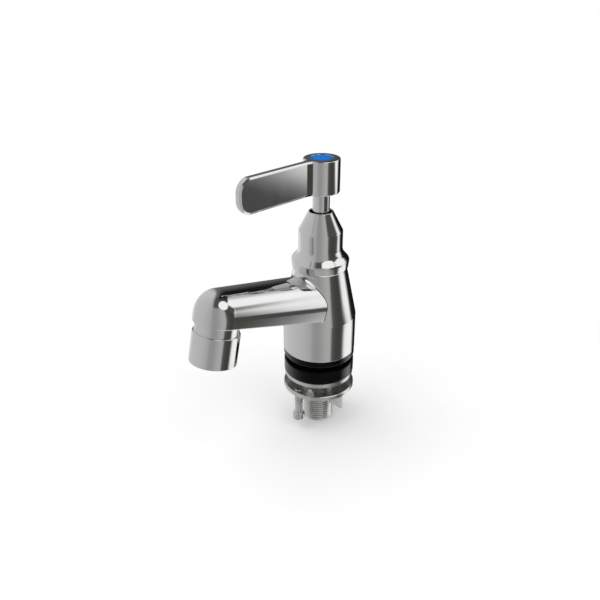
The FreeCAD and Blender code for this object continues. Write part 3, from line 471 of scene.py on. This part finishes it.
def studio_cards():
    """Emission by direction: grey walls under a dark top, white boxes, a pale table, a ceiling light."""
    finish = Finish("studio_cards")
    finish.nodes.remove(finish.shader)
    sight = finish.nodes.new("ShaderNodeVectorMath")
    sight.operation = "NORMALIZE"
    finish.links.new(finish.place, sight.inputs[0])
    right, back, up = finish.split(sight.outputs["Vector"])
    azimuth = finish.math("ARCTAN2", right, finish.math("MULTIPLY", back, -1.0))
    elevation = finish.math("ARCSINE", up)

    def rising(value, start, stop):
        return finish.ramp(value, 0.0, 1.0, math.radians(start), math.radians(stop))

    def falling(value, start, stop):
        return finish.ramp(value, 1.0, 0.0, math.radians(start), math.radians(stop))

    def both(one, two):
        return finish.math("MULTIPLY", one, two)

    # Grey walls, brighter low on the left, and the dark top above their straight upper edges
    level = ring(finish, azimuth, WALLS)
    glow = both(falling(elevation, -16.0, 1.0), falling(azimuth, -116.0, -70.0))
    glow = both(glow, both(rising(azimuth, -124.0, -118.0), rising(elevation, -29.0, -16.0)))
    level = finish.math("ADD", level, both(glow, 0.44))
    rise = finish.math("MAXIMUM", up, 0.001)
    tops = []
    for across, ahead, start, stop in ((-0.816, -0.577, 0.14, 0.37), (0.553, -0.833, 0.68, 1.0)):
        reach = finish.math("ADD", both(right, across), both(back, ahead))
        tops.append(finish.ramp(finish.math("DIVIDE", reach, rise), 0.0, 1.0, start, stop))
    wall = finish.math("MAXIMUM", *tops)
    wall = finish.math("MAXIMUM", wall, falling(elevation, 0.0, 12.0))
    wall = finish.math("MAXIMUM", wall, rising(finish.math("ABSOLUTE", azimuth), 118.0, 128.0))
    level = finish.math("ADD", both(level, wall), both(finish.math("SUBTRACT", 1.0, wall), DARK_TOP))

    # White box high on the right, and a tall one under it that narrows towards its middle
    round_back = finish.math("LESS_THAN", azimuth, math.radians(-140.0))
    behind = finish.math("ADD", azimuth, both(round_back, 2 * math.pi))
    lean = finish.math("MULTIPLY", finish.math("SUBTRACT", elevation, math.radians(28.0)), 0.6)
    upper = ring(finish, finish.math("ADD", behind, lean), UPPER_BOX)
    upper = both(upper, both(rising(elevation, 16.0, 25.0), falling(elevation, 51.0, 57.0)))
    table = falling(elevation, -36.5, -34.5)
    pinch = both(both(rising(elevation, -21.0, -18.0), falling(elevation, -16.0, -13.5)), math.radians(3.0))
    waist = finish.math("ADD", both(table, math.radians(14.0)), pinch)
    for foot, from_foot, to_head, head, depth in (
            (-29.5, -22.5, -16.0, -9.5, 13.2),
            (8.0, 19.0, 22.0, 33.0, 12.0)):
        reach = both(rising(elevation, foot, from_foot), falling(elevation, to_head, head))
        waist = finish.math("ADD", waist, both(reach, math.radians(depth)))
    tall = ring(finish, finish.math("SUBTRACT", behind, waist), TALL_BOX)
    flare = finish.math("SUBTRACT", falling(elevation, -29.0, -23.0), falling(elevation, -41.0, -38.0))
    flare = finish.math("SUBTRACT", both(flare, math.radians(15.0)), pinch)
    tall = both(tall, falling(finish.math("SUBTRACT", behind, flare), 151.0, 166.0))
    tall = both(tall, both(falling(elevation, 36.0, 44.0), rising(elevation, -58.0, -44.0)))
    for box in (upper, tall):
        level = finish.math("MAXIMUM", level, box)

    # Pale table, white straight below and behind
    near = both(both(table, falling(azimuth, 106.0, 113.0)), 0.43)
    below = both(falling(elevation, -57.0, -49.0), rising(azimuth, 10.0, 40.0))
    rear = both(falling(elevation, -42.0, -37.0), rising(finish.math("ABSOLUTE", azimuth), 138.0, 150.0))
    for card in (near, below, rear):
        level = finish.math("MAXIMUM", level, card)

    # Round ceiling light
    aim = finish.nodes.new("ShaderNodeVectorMath")
    aim.operation = "DOT_PRODUCT"
    finish.links.new(sight.outputs["Vector"], aim.inputs[0])
    aim.inputs[1].default_value = CEILING
    rim, core = (math.cos(math.radians(angle)) for angle in (21.6, 17.8))
    level = finish.math("MAXIMUM", level, finish.ramp(aim.outputs["Value"], 0.0, 1.12, rim, core))

    # The dark gap on the right is a little warm
    warm = both(rising(azimuth, 80.0, 86.0), falling(azimuth, 122.0, 128.0))
    warm = both(warm, finish.ramp(level, 1.0, 0.0, 0.12, 0.30))
    blue = both(level, finish.math("SUBTRACT", 1.0, both(warm, 0.10)))
    colour = finish.nodes.new("ShaderNodeCombineColor")
    for channel, source in (("Red", level), ("Green", level), ("Blue", blue)):
        finish.links.new(source, colour.inputs[channel])
    emitter = finish.nodes.new("ShaderNodeEmission")
    emitter.inputs["Strength"].default_value = 1.0
    finish.links.new(colour.outputs["Color"], emitter.inputs["Color"])
    output = finish.nodes["Material Output"]
    finish.links.new(emitter.outputs["Emission"], output.inputs["Surface"])
    finish.material.cycles.emission_sampling = "NONE"
    return finish.material


# Sizes and colours that a user would change

class TapSizes(bpy.types.PropertyGroup):
    steps: bpy.props.IntProperty(
        name="Steps", description="Points round each turned surface", default=160, min=24)
    crease_height: bpy.props.FloatProperty(
        name="Crease", description="Height where the body starts to taper", default=26.4 * MM, unit="LENGTH")
    shoulder_height: bpy.props.FloatProperty(
        name="Shoulder", description="Top of the taper", default=61.3 * MM, unit="LENGTH")
    shoulder_radius: bpy.props.FloatProperty(
        name="Shoulder radius", description="Body under the bonnet", default=17.5 * MM, unit="LENGTH")
    spout_base: bpy.props.FloatProperty(
        name="Spout base", description="Spout axis on the tap's axis", default=33.97 * MM, unit="LENGTH")
    spout_angle: bpy.props.FloatProperty(
        name="Spout slope", description="Slope of the spout", default=math.radians(15.1), subtype="ANGLE")
    spout_length: bpy.props.FloatProperty(
        name="Spout", description="Along the spout to the elbow", default=88.68 * MM, unit="LENGTH")
    spout_root_radius: bpy.props.FloatProperty(
        name="Root arch", description="Arched top on the tap's axis", default=19.1 * MM, unit="LENGTH")
    spout_root_depth: bpy.props.FloatProperty(
        name="Root side", description="Flat side below the axis there", default=7.4 * MM, unit="LENGTH")
    spout_end_depth: bpy.props.FloatProperty(
        name="End side", description="Flat side below the axis at the elbow", default=5.2 * MM, unit="LENGTH")
    spout_edge: bpy.props.FloatProperty(
        name="Lower edges", description="Rounding under the spout", default=0.8 * MM, unit="LENGTH")
    elbow_radius: bpy.props.FloatProperty(
        name="Elbow", description="Ball of the elbow and end of the arch", default=15.0 * MM, unit="LENGTH")
    outlet_angle: bpy.props.FloatProperty(
        name="Outlet tilt", description="Tilt of the outlet", default=math.radians(12.7), subtype="ANGLE")
    outlet_drop: bpy.props.FloatProperty(
        name="Outlet drop", description="Elbow centre to the aerator", default=11.1 * MM, unit="LENGTH")
    root_blend: bpy.props.FloatProperty(
        name="Root blend", description="Rounding over the spout's root", default=5.5 * MM, unit="LENGTH")
    collar_drop: bpy.props.FloatProperty(
        name="Collar drop", description="Collar's lip over the shoulder", default=2.0 * MM, unit="LENGTH")
    thread_pitch: bpy.props.FloatProperty(
        name="Pitch", description="Pitch of the shank's thread", default=25.4 * MM / 14, unit="LENGTH")
    thread_depth: bpy.props.FloatProperty(
        name="Thread depth", description="Depth of the shank's thread", default=1.16 * MM, unit="LENGTH")
    screw_pitch: bpy.props.FloatProperty(
        name="Screw pitch", description="Pitch of the jack screws", default=1.0 * MM, unit="LENGTH")


class TapColours(bpy.types.PropertyGroup):
    chrome: bpy.props.FloatVectorProperty(
        name="Chrome", description="Polished plate", default=(0.785, 0.79, 0.78), subtype="COLOR")
    thread: bpy.props.FloatVectorProperty(
        name="Thread", description="Plated shank", default=(0.72, 0.72, 0.70), subtype="COLOR")
    zinc: bpy.props.FloatVectorProperty(
        name="Zinc", description="Nut and washer", default=(0.72, 0.73, 0.71), subtype="COLOR")
    rubber: bpy.props.FloatVectorProperty(
        name="Rubber", description="Gasket and ring", default=(0.002, 0.002, 0.002), subtype="COLOR")
    index: bpy.props.FloatVectorProperty(
        name="Index", description="Disc in the lever's hub", default=(0.001, 0.166, 0.640), subtype="COLOR")


def tap():
    """Sizes and colours as the panel holds them."""
    return bpy.context.scene.tap_sizes, bpy.context.scene.tap_colours


def finish_of(maker, colour):
    """The finish that carries its maker's name, made at its first use."""
    return bpy.data.materials.get(maker.__name__) or maker(tuple(colour))


# Body with the spout

class Casting:
    """The spout's arched and flat-sided skin, and its join with the barrel."""

    SEARCH = (4 * MM, 60 * MM)      # lengths along the spout between which the join lies
    HALVINGS = 30
    SIDE_BLEND = 1.1 * MM

    def __init__(self, sizes, foot_radius):
        self.sizes = sizes
        self.foot_radius = foot_radius
        angle = sizes.spout_angle
        self.along = np.array([0.0, -math.cos(angle), math.sin(angle)])
        self.above = np.array([0.0, math.sin(angle), math.cos(angle)])
        self.base = np.array([0.0, 0.0, sizes.spout_base])
        self.elbow = self.base + self.along * sizes.spout_length
        self.slope = (sizes.elbow_radius - sizes.spout_root_radius) / sizes.spout_length

    def outline(self):
        """Stations round a section: (part of the radius, part of the depth, offset, normal)."""
        edge = self.sizes.spout_edge
        crown = []
        for angle in np.radians(np.linspace(-90.0, 90.0, 91)):
            normal = (math.sin(angle), math.cos(angle))
            crown.append((normal, 0.0, (0.0, 0.0), normal))
        right = []
        for share in (0.02, 0.35, 0.65, 0.98):
            right.append(((1.0, 0.0), share, (0.0, edge * share), (1.0, 0.0)))
        for angle in np.radians(np.linspace(0.0, 90.0, 9)):
            normal = (math.cos(angle), -math.sin(angle))
            offset = (edge * (normal[0] - 1.0), edge * (normal[1] + 1.0))
            right.append(((1.0, 0.0), 1.0, offset, normal))
        for share in (0.98, 0.7, 0.35):
            right.append(((share, 0.0), 1.0, (-edge * share, 0.0), (0.0, -1.0)))
        middle = ((0.0, 0.0), 1.0, (0.0, 0.0), (0.0, -1.0))
        left = [((-spread[0], spread[1]), share, (-offset[0], offset[1]), (-normal[0], normal[1]))
                for spread, share, offset, normal in reversed(right)]
        return crown + right + [middle] + left

    def point(self, station, length, lift):
        """Places over a station, along the spout and lifted off its skin."""
        spread, share, offset, normal = station
        length, lift = np.atleast_1d(length), np.atleast_1d(lift)
        sizes = self.sizes
        radius = sizes.spout_root_radius + self.slope * length
        taper = sizes.spout_end_depth - sizes.spout_root_depth
        depth = sizes.spout_root_depth + taper * length / sizes.spout_length
        side = spread[0] * radius + offset[0] + normal[0] * lift
        rise = spread[1] * radius - share * depth + offset[1] + normal[1] * lift
        middle = self.base + np.outer(length, self.along) + np.outer(rise, self.above)
        return middle + np.outer(side, (1.0, 0.0, 0.0))

    def outside_barrel(self, places):
        """Distance outside the barrel, below zero inside."""
        taper = (self.foot_radius - self.sizes.shoulder_radius) / (
            self.sizes.shoulder_height - self.sizes.crease_height)
        above = np.maximum(0.0, places[:, 2] - self.sizes.crease_height)
        return np.hypot(places[:, 0], places[:, 1]) - (self.foot_radius - taper * above)

    def section(self, station, lifts):
        """Lengths along the spout at which the barrel's surface crosses each lift."""
        near, far = (np.full(len(lifts), length) for length in self.SEARCH)
        for _ in range(self.HALVINGS):
            middle = (near + far) / 2
            inside = self.outside_barrel(self.point(station, middle, lifts)) < 0
            near = np.where(inside, middle, near)
            far = np.where(inside, far, middle)
        return (near + far) / 2

    def blend(self, station, radius, pieces):
        """Arc of (length, lift) points from the barrel's surface to the spout's skin."""
        lifts = np.linspace(-1.5 * radius - 2 * MM, 2.6 * radius + 2 * MM, 400)
        curve = np.stack([self.section(station, lifts), lifts], axis=1)
        near, far = self.SEARCH
        for _ in range(self.HALVINGS):
            middle = (near + far) / 2
            gap = np.min(np.hypot(curve[:, 0] - middle, curve[:, 1] - radius))
            if gap < radius or self.outside_barrel(self.point(station, middle, radius))[0] < 0:
                near = middle
            else:
                far = middle
        centre = np.array([near, radius])
        touch = int(np.argmin(np.linalg.norm(curve - centre, axis=1)))
        start = curve[touch] - centre
        finish = np.array([0.0, -radius])
        turn = math.atan2(start[0] * finish[1] - start[1] * finish[0], float(start @ finish))
        inside = curve[min(touch + 12, len(curve) - 1)]
        arc = [inside]
        for part in range(pieces + 1):
            arc.append(centre + swung(start, turn * part / pieces))
        return arc

    def spout(self):
        """Grid of the spout's skin, blended into the barrel and tangent to the elbow."""
        end = self.sizes.spout_length - self.slope * self.sizes.elbow_radius
        columns = []
        for station in self.outline():
            crown = max(0.0, station[3][1]) ** 3
            radius = self.SIDE_BLEND + (self.sizes.root_blend - self.SIDE_BLEND) * crown
            line = self.blend(station, radius, 10)
            last = np.array([end, 0.0])
            line += [line[-1] + (last - line[-1]) * share for share in (0.005, 0.25, 0.5, 0.75, 1.0)]
            places = np.array(line)
            column = self.point(station, places[:, 0], places[:, 1])
            column[:, 2] = np.minimum(column[:, 2], np.maximum(column[-1, 2], self.sizes.shoulder_height))
            columns.append(column)
        return np.array(columns).transpose(1, 0, 2)

    def outlet(self):
        """Place and tilt of the outlet, from the elbow's centre."""
        return Matrix.Translation(Vector(self.elbow)) @ Matrix.Rotation(-self.sizes.outlet_angle, 4, "X")


class TAP_OT_body(bpy.types.Operator):
    """Turns the barrel and joins the spout and the elbow to it"""
    bl_idname = "tap.body"
    bl_label = "Body and spout"

    def execute(self, context):
        sizes, colours = tap()
        chrome = finish_of(chrome_plate, colours.chrome)
        low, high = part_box("body_casting")
        foot_radius = high.x
        skin = Skin()
        skin.add(turned(soften([
            (15.5 * MM, low.z, 0),
            (foot_radius, low.z, 0.35 * MM),
            (foot_radius, sizes.crease_height, 0.6 * MM),
            (sizes.shoulder_radius, sizes.shoulder_height, 0.2 * MM),
            (14.0 * MM, sizes.shoulder_height, 0),
        ]), sizes.steps))
        casting = Casting(sizes, foot_radius)
        skin.add(casting.spout(), flip=True)
        elbow = sizes.elbow_radius
        skirt = sizes.spout_end_depth
        neck = 13.4 * MM
        tail = 11.9 * MM
        waterway = 9.0 * MM
        neck_end = -sizes.outlet_drop
        tail_end = neck_end - 8.9 * MM
        line = [(elbow * math.sin(angle), elbow * math.cos(angle), 0)
                for angle in np.linspace(0.0, math.pi / 2, 28)]
        line += [
            (elbow, -skirt, sizes.spout_edge),
            (neck, -skirt, 0.15 * MM),
            (neck, neck_end, 0),
            (tail, neck_end, 0),
            (tail, tail_end, 0),
            (waterway, tail_end, 0),
            (waterway, 0.0, 0),
        ]
        skin.add(moved(turned(soften(line), sizes.steps), casting.outlet()), flip=True)
        dress(skin.piece("body_skin", chrome, POLISHED_EDGE), "tap", "body_casting")
        return {"FINISHED"}


class TAP_OT_bonnet(bpy.types.Operator):
    """Turns the bonnet over the valve"""
    bl_idname = "tap.bonnet"
    bl_label = "Bonnet"

    def execute(self, context):
        sizes, colours = tap()
        chrome = finish_of(chrome_plate, colours.chrome)
        low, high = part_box("bonnet")
        collar_top = low.z + 4.85 * MM
        flare_top = collar_top + 5.3 * MM
        cylinder_top = flare_top + 14.2 * MM
        cylinder = 14.45 * MM
        stem_hole = 7.0 * MM
        inside = 12.2 * MM
        socket = 15.1 * MM
        seam = socket + 0.9 * MM
        wall = 2.2 * MM
        skin = Skin()
        skin.add(turned(soften([
            (socket, low.z, 0),
            (seam, low.z, 0),
            (seam, low.z - sizes.collar_drop, 0),
            (high.x - 0.85 * MM, low.z - sizes.collar_drop, 2.4 * MM),
            (high.x, collar_top, 1.6 * MM),
            (cylinder, flare_top, 8.0 * MM),
            (cylinder, cylinder_top, 0.8 * MM),
            (stem_hole + 0.9 * MM, high.z, 0.35 * MM),
            (stem_hole, high.z, 0.2 * MM),
            (stem_hole, high.z - wall, 0.1 * MM),
            (inside, cylinder_top - wall, 0),
            (inside, flare_top, 0),
            (socket, low.z + 6.5 * MM, 0),
            (socket, low.z, 0),
        ]), sizes.steps))
        dress(skin.piece("bonnet_skin", chrome, POLISHED_EDGE), "tap", "bonnet")
        return {"FINISHED"}


class TAP_OT_lever(bpy.types.Operator):
    """Forms the lever: paddle with a bevelled rim, hub, stem and the blue index"""
    bl_idname = "tap.lever"
    bl_label = "Lever and index"

    def execute(self, context):
        sizes, colours = tap()
        chrome = finish_of(chrome_plate, colours.chrome)
        low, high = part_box("lever_handle")
        index_low, index_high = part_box("index_disc")
        base = 111.1 * MM
        hub = 11.6 * MM
        stem = 5.5 * MM
        pocket = index_high.x + 0.07 * MM
        skin = Skin()
        skin.add(turned(soften([
            (3.97 * MM, low.z, 0),
            (stem, low.z, 0.5 * MM),
            (stem, base, 0.25 * MM),
            (hub, base, 0.9 * MM),
            (hub, high.z, 0.9 * MM),
            (pocket + 0.15 * MM, high.z, 0.05 * MM),
            (pocket, high.z - 0.15 * MM, 0.05 * MM),
            (pocket, index_low.z, 0),
            (5.0 * MM, index_low.z, 0),
        ]), sizes.steps))
        self.paddle(skin, -low.y, base, high.z)
        dress(skin.piece("lever_skin", chrome, 12.5), "handle", "lever_handle")
        self.index(index_low, index_high, sizes, colours)
        return {"FINISHED"}

    @staticmethod
    def paddle(skin, reach, base, top):
        """Rounded plate with a bevelled rim, flared where it meets the hub."""
        half = 2.3 * MM
        bevel = 0.7 * MM
        slant = 1.25 * MM
        corner = 8.7 * MM
        flare_start = 15.1 * MM
        flare_end = 10.6 * MM
        flare = 0.245 * (flare_start - flare_end)
        rim = [tuple(place) for place in soften([
            (2 * slant, half, 0),
            (slant, half, 0.25 * MM),
            (0.0, half - bevel, 0.25 * MM),
            (0.0, 0.0, 0),
        ], 8.0)][1:]
        profile = rim + [(inset, -across) for inset, across in reversed(rim[:-1])]
        loops = []
        for inset, across in profile:
            radius = corner - inset
            loop = [(flare_end, top - inset), (flare_start, top - inset)]
            for angle in np.linspace(0.0, math.pi / 2, 28):
                loop.append((reach - corner + radius * math.sin(angle),
                             top - corner + radius * math.cos(angle)))
            for angle in np.linspace(0.0, math.pi / 2, 28):
                loop.append((reach - corner + radius * math.cos(angle),
                             base + corner - radius * math.sin(angle)))
            loop += [(flare_start, base + inset), (flare_end, base + inset)]
            places = [(across, -out, up) for out, up in loop]
            for end in (0, -1):
                places[end] = (across * (1 + flare / half), *places[end][1:])
            loops.append(places)
        grid = np.array(loops)
        skin.add(grid, wrap=False, flip=True)
        for side, flip in ((grid[0], False), (grid[-1], True)):
            skin.cap(side[1:-1], flip)
            skin.cap(side[[0, 1, -2, -1]], flip)

    @staticmethod
    def index(low, high, sizes, colours):
        """Slightly crowned disc with a small chamfer."""
        crown = 0.1 * MM
        edge = high.x
        chamfer = 0.12 * MM
        line = [(edge, low.z), (edge, high.z - crown - chamfer), (edge - chamfer, high.z - crown)]
        for share in (0.93, 0.8, 0.65, 0.5, 0.35, 0.2, 0.08, 0.0):
            line.append((edge * share, high.z - crown * share ** 2))
        skin = Skin()
        skin.add(turned(np.array(line), sizes.steps))
        blue = finish_of(index_blue, colours.index)
        dress(skin.piece("index_button", blue), "handle", "index_disc")


class TAP_OT_aerator(bpy.types.Operator):
    """Turns the outlet sleeve with a rolled lip"""
    bl_idname = "tap.aerator"
    bl_label = "Outlet sleeve"

    def execute(self, context):
        sizes, colours = tap()
        chrome = finish_of(chrome_plate, colours.chrome)
        casting = Casting(sizes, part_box("body_casting")[1].x)
        top = -sizes.outlet_drop
        low = top - 19.4 * MM
        outside = 14.4 * MM
        mouth = 10.9 * MM
        inside = 12.4 * MM
        joint = 11.97 * MM
        lip = low + 2.0 * MM
        step = top - 10.6 * MM
        skin = Skin()
        skin.add(moved(turned(soften([
            (joint, top, 0),
            (outside, top, 0.45 * MM),
            (outside, low, 0.45 * MM),
            (mouth, low, 0.4 * MM),
            (mouth, lip, 0),
            (inside, lip, 0),
            (inside, step, 0),
            (joint, step, 0),
            (joint, top, 0),
        ]), sizes.steps), casting.outlet()), flip=True)
        dress(skin.piece("aerator_sleeve", chrome, POLISHED_EDGE), "tap", "aerator_housing")
        return {"FINISHED"}


class TAP_OT_shank(bpy.types.Operator):
    """Cuts the thread of the shank"""
    bl_idname = "tap.shank"
    bl_label = "Threaded shank"

    def execute(self, context):
        sizes, colours = tap()
        plate = finish_of(plated_thread, colours.thread)
        low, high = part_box("inlet_shank")
        bore = 6.5 * MM
        chamfer = 0.5 * MM
        lead = 1.2 * MM
        steps = 96
        skin = Skin()
        thread(skin, high.x, sizes.thread_depth, sizes.thread_pitch, low.z, high.z, steps, lead)
        end_ring(skin, bore + chamfer, high.x - lead, low.z, steps)
        end_ring(skin, bore, high.x - sizes.thread_depth, high.z, steps, flip=True)
        skin.add(turned(np.array([
            [bore + chamfer, low.z], [bore, low.z + chamfer], [bore, high.z]]), steps), flip=True)
        dress(skin.piece("threaded_shank", plate, 40.0), "tap", "inlet_shank")
        return {"FINISHED"}


def clamp_ring(node, bore_edge, low_edge, top_edge, steps):
    """Flat ring round the shank in the place of a CAD node."""
    bore = 10.78 * MM
    low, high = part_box(node)
    skin = Skin()
    skin.add(turned(soften([
        (bore, high.z, 0),
        (bore, low.z, bore_edge),
        (high.x, low.z, low_edge),
        (high.x, high.z, top_edge),
        (bore, high.z, 0),
    ]), steps))
    return skin


class TAP_OT_seals(bpy.types.Operator):
    """Rounds the moulded edges of the gasket and the rubber ring"""
    bl_idname = "tap.seals"
    bl_label = "Gasket and rubber ring"

    def execute(self, context):
        sizes, colours = tap()
        rubber = finish_of(moulded_rubber, colours.rubber)
        for node, name, body, edge, top_edge in (
                ("base_gasket", "foot_gasket", "tap", 0.6 * MM, 0.15 * MM),
                ("deck_washer", "rubber_ring", "deck_clamp", 0.8 * MM, 0.8 * MM)):
            skin = clamp_ring(node, 0.3 * MM, edge, top_edge, sizes.steps)
            dress(skin.piece(name, rubber), body, node)
        return {"FINISHED"}


class TAP_OT_clamp(bpy.types.Operator):
    """Steel washer, locknut and jack screws under the deck"""
    bl_idname = "tap.clamp"
    bl_label = "Deck clamp"

    def execute(self, context):
        sizes, colours = tap()
        zinc = finish_of(zinc_plate, colours.zinc)
        steel = finish_of(screw_steel, colours.zinc)
        skin = clamp_ring("steel_washer", 0, 0.3 * MM, 0.8 * MM, sizes.steps)
        dress(skin.piece("clamp_plate", zinc), "deck_clamp", "steel_washer")
        refinish("locknut", zinc)
        for node, body in (("jack_screw_front", "front_screw"), ("jack_screw_rear", "rear_screw")):
            self.screw(node, body, sizes, steel)
        return {"FINISHED"}

    @staticmethod
    def screw(node, body, sizes, steel):
        """Slotted screw with its own thread."""
        low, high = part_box(node)
        middle = (low.y + high.y) / 2
        head = (high.x - low.x) / 2
        head_top = low.z + 5.0 * MM
        thread_end = high.z - 11.0 * MM
        radius = 3.0 * MM
        depth = 0.5 * MM
        shaft = 2.75 * MM
        slot = 0.7 * MM
        slot_end = low.z + 2.0 * MM
        skin = Skin()
        thread(skin, radius, depth, sizes.screw_pitch, thread_end, high.z, 40, 0.4 * MM)
        end_ring(skin, 0.0, 2.55 * MM, high.z, 40, flip=True)
        outside = turned(soften([
            (radius - depth, thread_end, 0),
            (shaft, thread_end - 0.3 * MM, 0.1 * MM),
            (shaft, head_top, 0),
            (head, head_top - 0.9 * MM, 0.3 * MM),
            (head, low.z, 0.6 * MM),
            (slot + 0.02 * MM, low.z, 0),
        ]), 64)
        across = outside[:, :, 0]
        inside = (outside[:, :, 2] < slot_end) & (np.abs(across) < slot)
        outside[:, :, 0] = np.where(inside, np.sign(across) * slot, across)
        skin.add(outside, flip=True)
        for side in (-slot, slot):
            skin.add(np.array([
                [[side, -head * 0.98, height], [side, head * 0.98, height]]
                for height in (low.z + 0.1 * MM, slot_end)
            ]), wrap=False)
        skin.points = [part + np.array([0.0, middle, 0.0]) for part in skin.points]
        dress(skin.piece(f"{body}_thread", steel, 40.0), body, node)


class TAP_OT_inner_parts(bpy.types.Operator):
    """Finishes the parts that stay as they are in the model"""
    bl_idname = "tap.inner_parts"
    bl_label = "Inner parts"

    def execute(self, context):
        colours = tap()[1]
        seal = moulded_rubber((0.010, 0.010, 0.010), "seal_rubber")
        steel = finish_of(screw_steel, colours.zinc)
        finishes = {
            turned_brass(): ("headwork_body", "spindle"),
            seal: ("shank_seal", "headwork_seal", "seat_seal", "spindle_rings", "aerator_washer"),
            steel: ("handle_screw", "spindle_clip", "aerator_screen"),
            lapped_ceramic(): ("fixed_disc", "moving_disc"),
            white_moulding(): ("thrust_washer", "flow_regulator", "aerator_insert"),
        }
        for material, nodes in finishes.items():
            for node in nodes:
                refinish(node, material)
        return {"FINISHED"}


class TAP_OT_studio(bpy.types.Operator):
    """Sets the camera, the pale floor and the soft studio round the tap"""
    bl_idname = "tap.studio"
    bl_label = "Studio"

    def execute(self, context):
        scene = context.scene
        self.camera(scene)
        self.floor(scene)
        self.cards()
        self.light(scene)
        scene.view_settings.view_transform = "Standard"
        return {"FINISHED"}

    @staticmethod
    def camera(scene):
        """The photo's pinhole camera."""
        sensor = 36.0
        focal = 641.56
        photo_width = 600.0
        view = bpy.data.cameras.new("view")
        view.sensor_width = sensor
        view.lens = sensor * focal / photo_width
        view.clip_start = 0.01
        view.clip_end = 50.0
        camera = bpy.data.objects.new("view", view)
        azimuth = math.radians(45.0)
        pitch = math.radians(27.04)
        level = math.cos(pitch)
        sight = Vector((-math.sin(azimuth) * level, math.cos(azimuth) * level, -math.sin(pitch)))
        camera.rotation_euler = sight.to_track_quat("-Z", "Y").to_euler()
        camera.location = (265.36 * MM, -284.24 * MM, 233.15 * MM)
        scene.collection.objects.link(camera)
        scene.camera = camera

    @staticmethod
    def floor(scene):
        """Pale sheet just under the tap."""
        level = cad_box[0][2] - 0.3 * MM
        wide = 40.0
        corners = ((-wide, -wide), (wide, -wide), (wide, wide), (-wide, wide))
        mesh = bpy.data.meshes.new("floor")
        mesh.from_pydata([(*corner, level) for corner in corners], [], [(0, 1, 2, 3)])
        mesh.materials.append(pale_floor())
        floor = bpy.data.objects.new("floor", mesh)
        scene.collection.objects.link(floor)
        floor.visible_glossy = False

    @staticmethod
    def cards():
        """Large ball round the set that only polished surfaces see."""
        radius = 2.5
        arc = [(radius * math.sin(angle), -radius * math.cos(angle))
               for angle in np.linspace(0.0, math.pi, 33)]
        skin = Skin()
        skin.add(turned(np.array(arc), 64), flip=True)
        ball = skin.piece("studio_cards", studio_cards())
        ball.visible_camera = False
        ball.visible_diffuse = False
        ball.visible_transmission = False
        ball.visible_volume_scatter = False
        ball.visible_shadow = False

    @staticmethod
    def light(scene):
        """Pale world, whiter where it is seen straight, and two soft lamps."""
        target = Vector((0.0, -0.04, 0.03))
        world = bpy.data.worlds.new("studio")
        world.use_nodes = True
        nodes, links = world.node_tree.nodes, world.node_tree.links
        nodes["Background"].inputs["Color"].default_value = (1.0, 1.0, 1.0, 1.0)
        path = nodes.new("ShaderNodeLightPath")
        seen = path.outputs["Is Camera Ray"]
        for ray in ("Is Glossy Ray", "Is Transmission Ray"):
            either = nodes.new("ShaderNodeMath")
            either.operation = "MAXIMUM"
            links.new(seen, either.inputs[0])
            links.new(path.outputs[ray], either.inputs[1])
            seen = either.outputs["Value"]
        level = nodes.new("ShaderNodeMapRange")
        level.inputs["To Min"].default_value = 0.80
        level.inputs["To Max"].default_value = 1.0
        links.new(seen, level.inputs["Value"])
        links.new(level.outputs["Result"], nodes["Background"].inputs["Strength"])
        scene.world = world
        for name, place, size, energy in (
                ("key", (-0.45, -0.65, 1.3), 1.6, 8.0),
                ("fill", (0.95, -0.10, 0.9), 1.4, 4.0)):
            lamp = bpy.data.lights.new(name, "AREA")
            lamp.shape = "DISK"
            lamp.size = size
            lamp.energy = energy
            holder = bpy.data.objects.new(name, lamp)
            holder.location = place
            holder.rotation_euler = (target - Vector(place)).to_track_quat("-Z", "Y").to_euler()
            holder.visible_glossy = False
            holder.visible_camera = False
            scene.collection.objects.link(holder)


class TAP_PT_panel(bpy.types.Panel):
    bl_label = "Pillar tap"
    bl_idname = "TAP_PT_panel"
    bl_space_type = "VIEW_3D"
    bl_region_type = "UI"
    bl_category = "Tap"

    def draw(self, context):
        for group in (context.scene.tap_sizes, context.scene.tap_colours):
            for key in group.__annotations__:
                self.layout.prop(group, key)
        for step in STEPS:
            self.layout.operator(step.bl_idname)


STEPS = (
    TAP_OT_studio,
    TAP_OT_body,
    TAP_OT_bonnet,
    TAP_OT_lever,
    TAP_OT_aerator,
    TAP_OT_shank,
    TAP_OT_seals,
    TAP_OT_clamp,
    TAP_OT_inner_parts,
)
GROUPS = (TapSizes, TapColours)


def register():
    for group in GROUPS + STEPS + (TAP_PT_panel,):
        bpy.utils.register_class(group)
    bpy.types.Scene.tap_sizes = bpy.props.PointerProperty(type=TapSizes)
    bpy.types.Scene.tap_colours = bpy.props.PointerProperty(type=TapColours)


def unregister():
    del bpy.types.Scene.tap_sizes
    del bpy.types.Scene.tap_colours
    for group in reversed(GROUPS + STEPS + (TAP_PT_panel,)):
        bpy.utils.unregister_class(group)


def main():
    register()
    for step in STEPS:
        group, name = step.bl_idname.split(".")
        getattr(getattr(bpy.ops, group), name)()


if __name__ == "__main__":
    main()
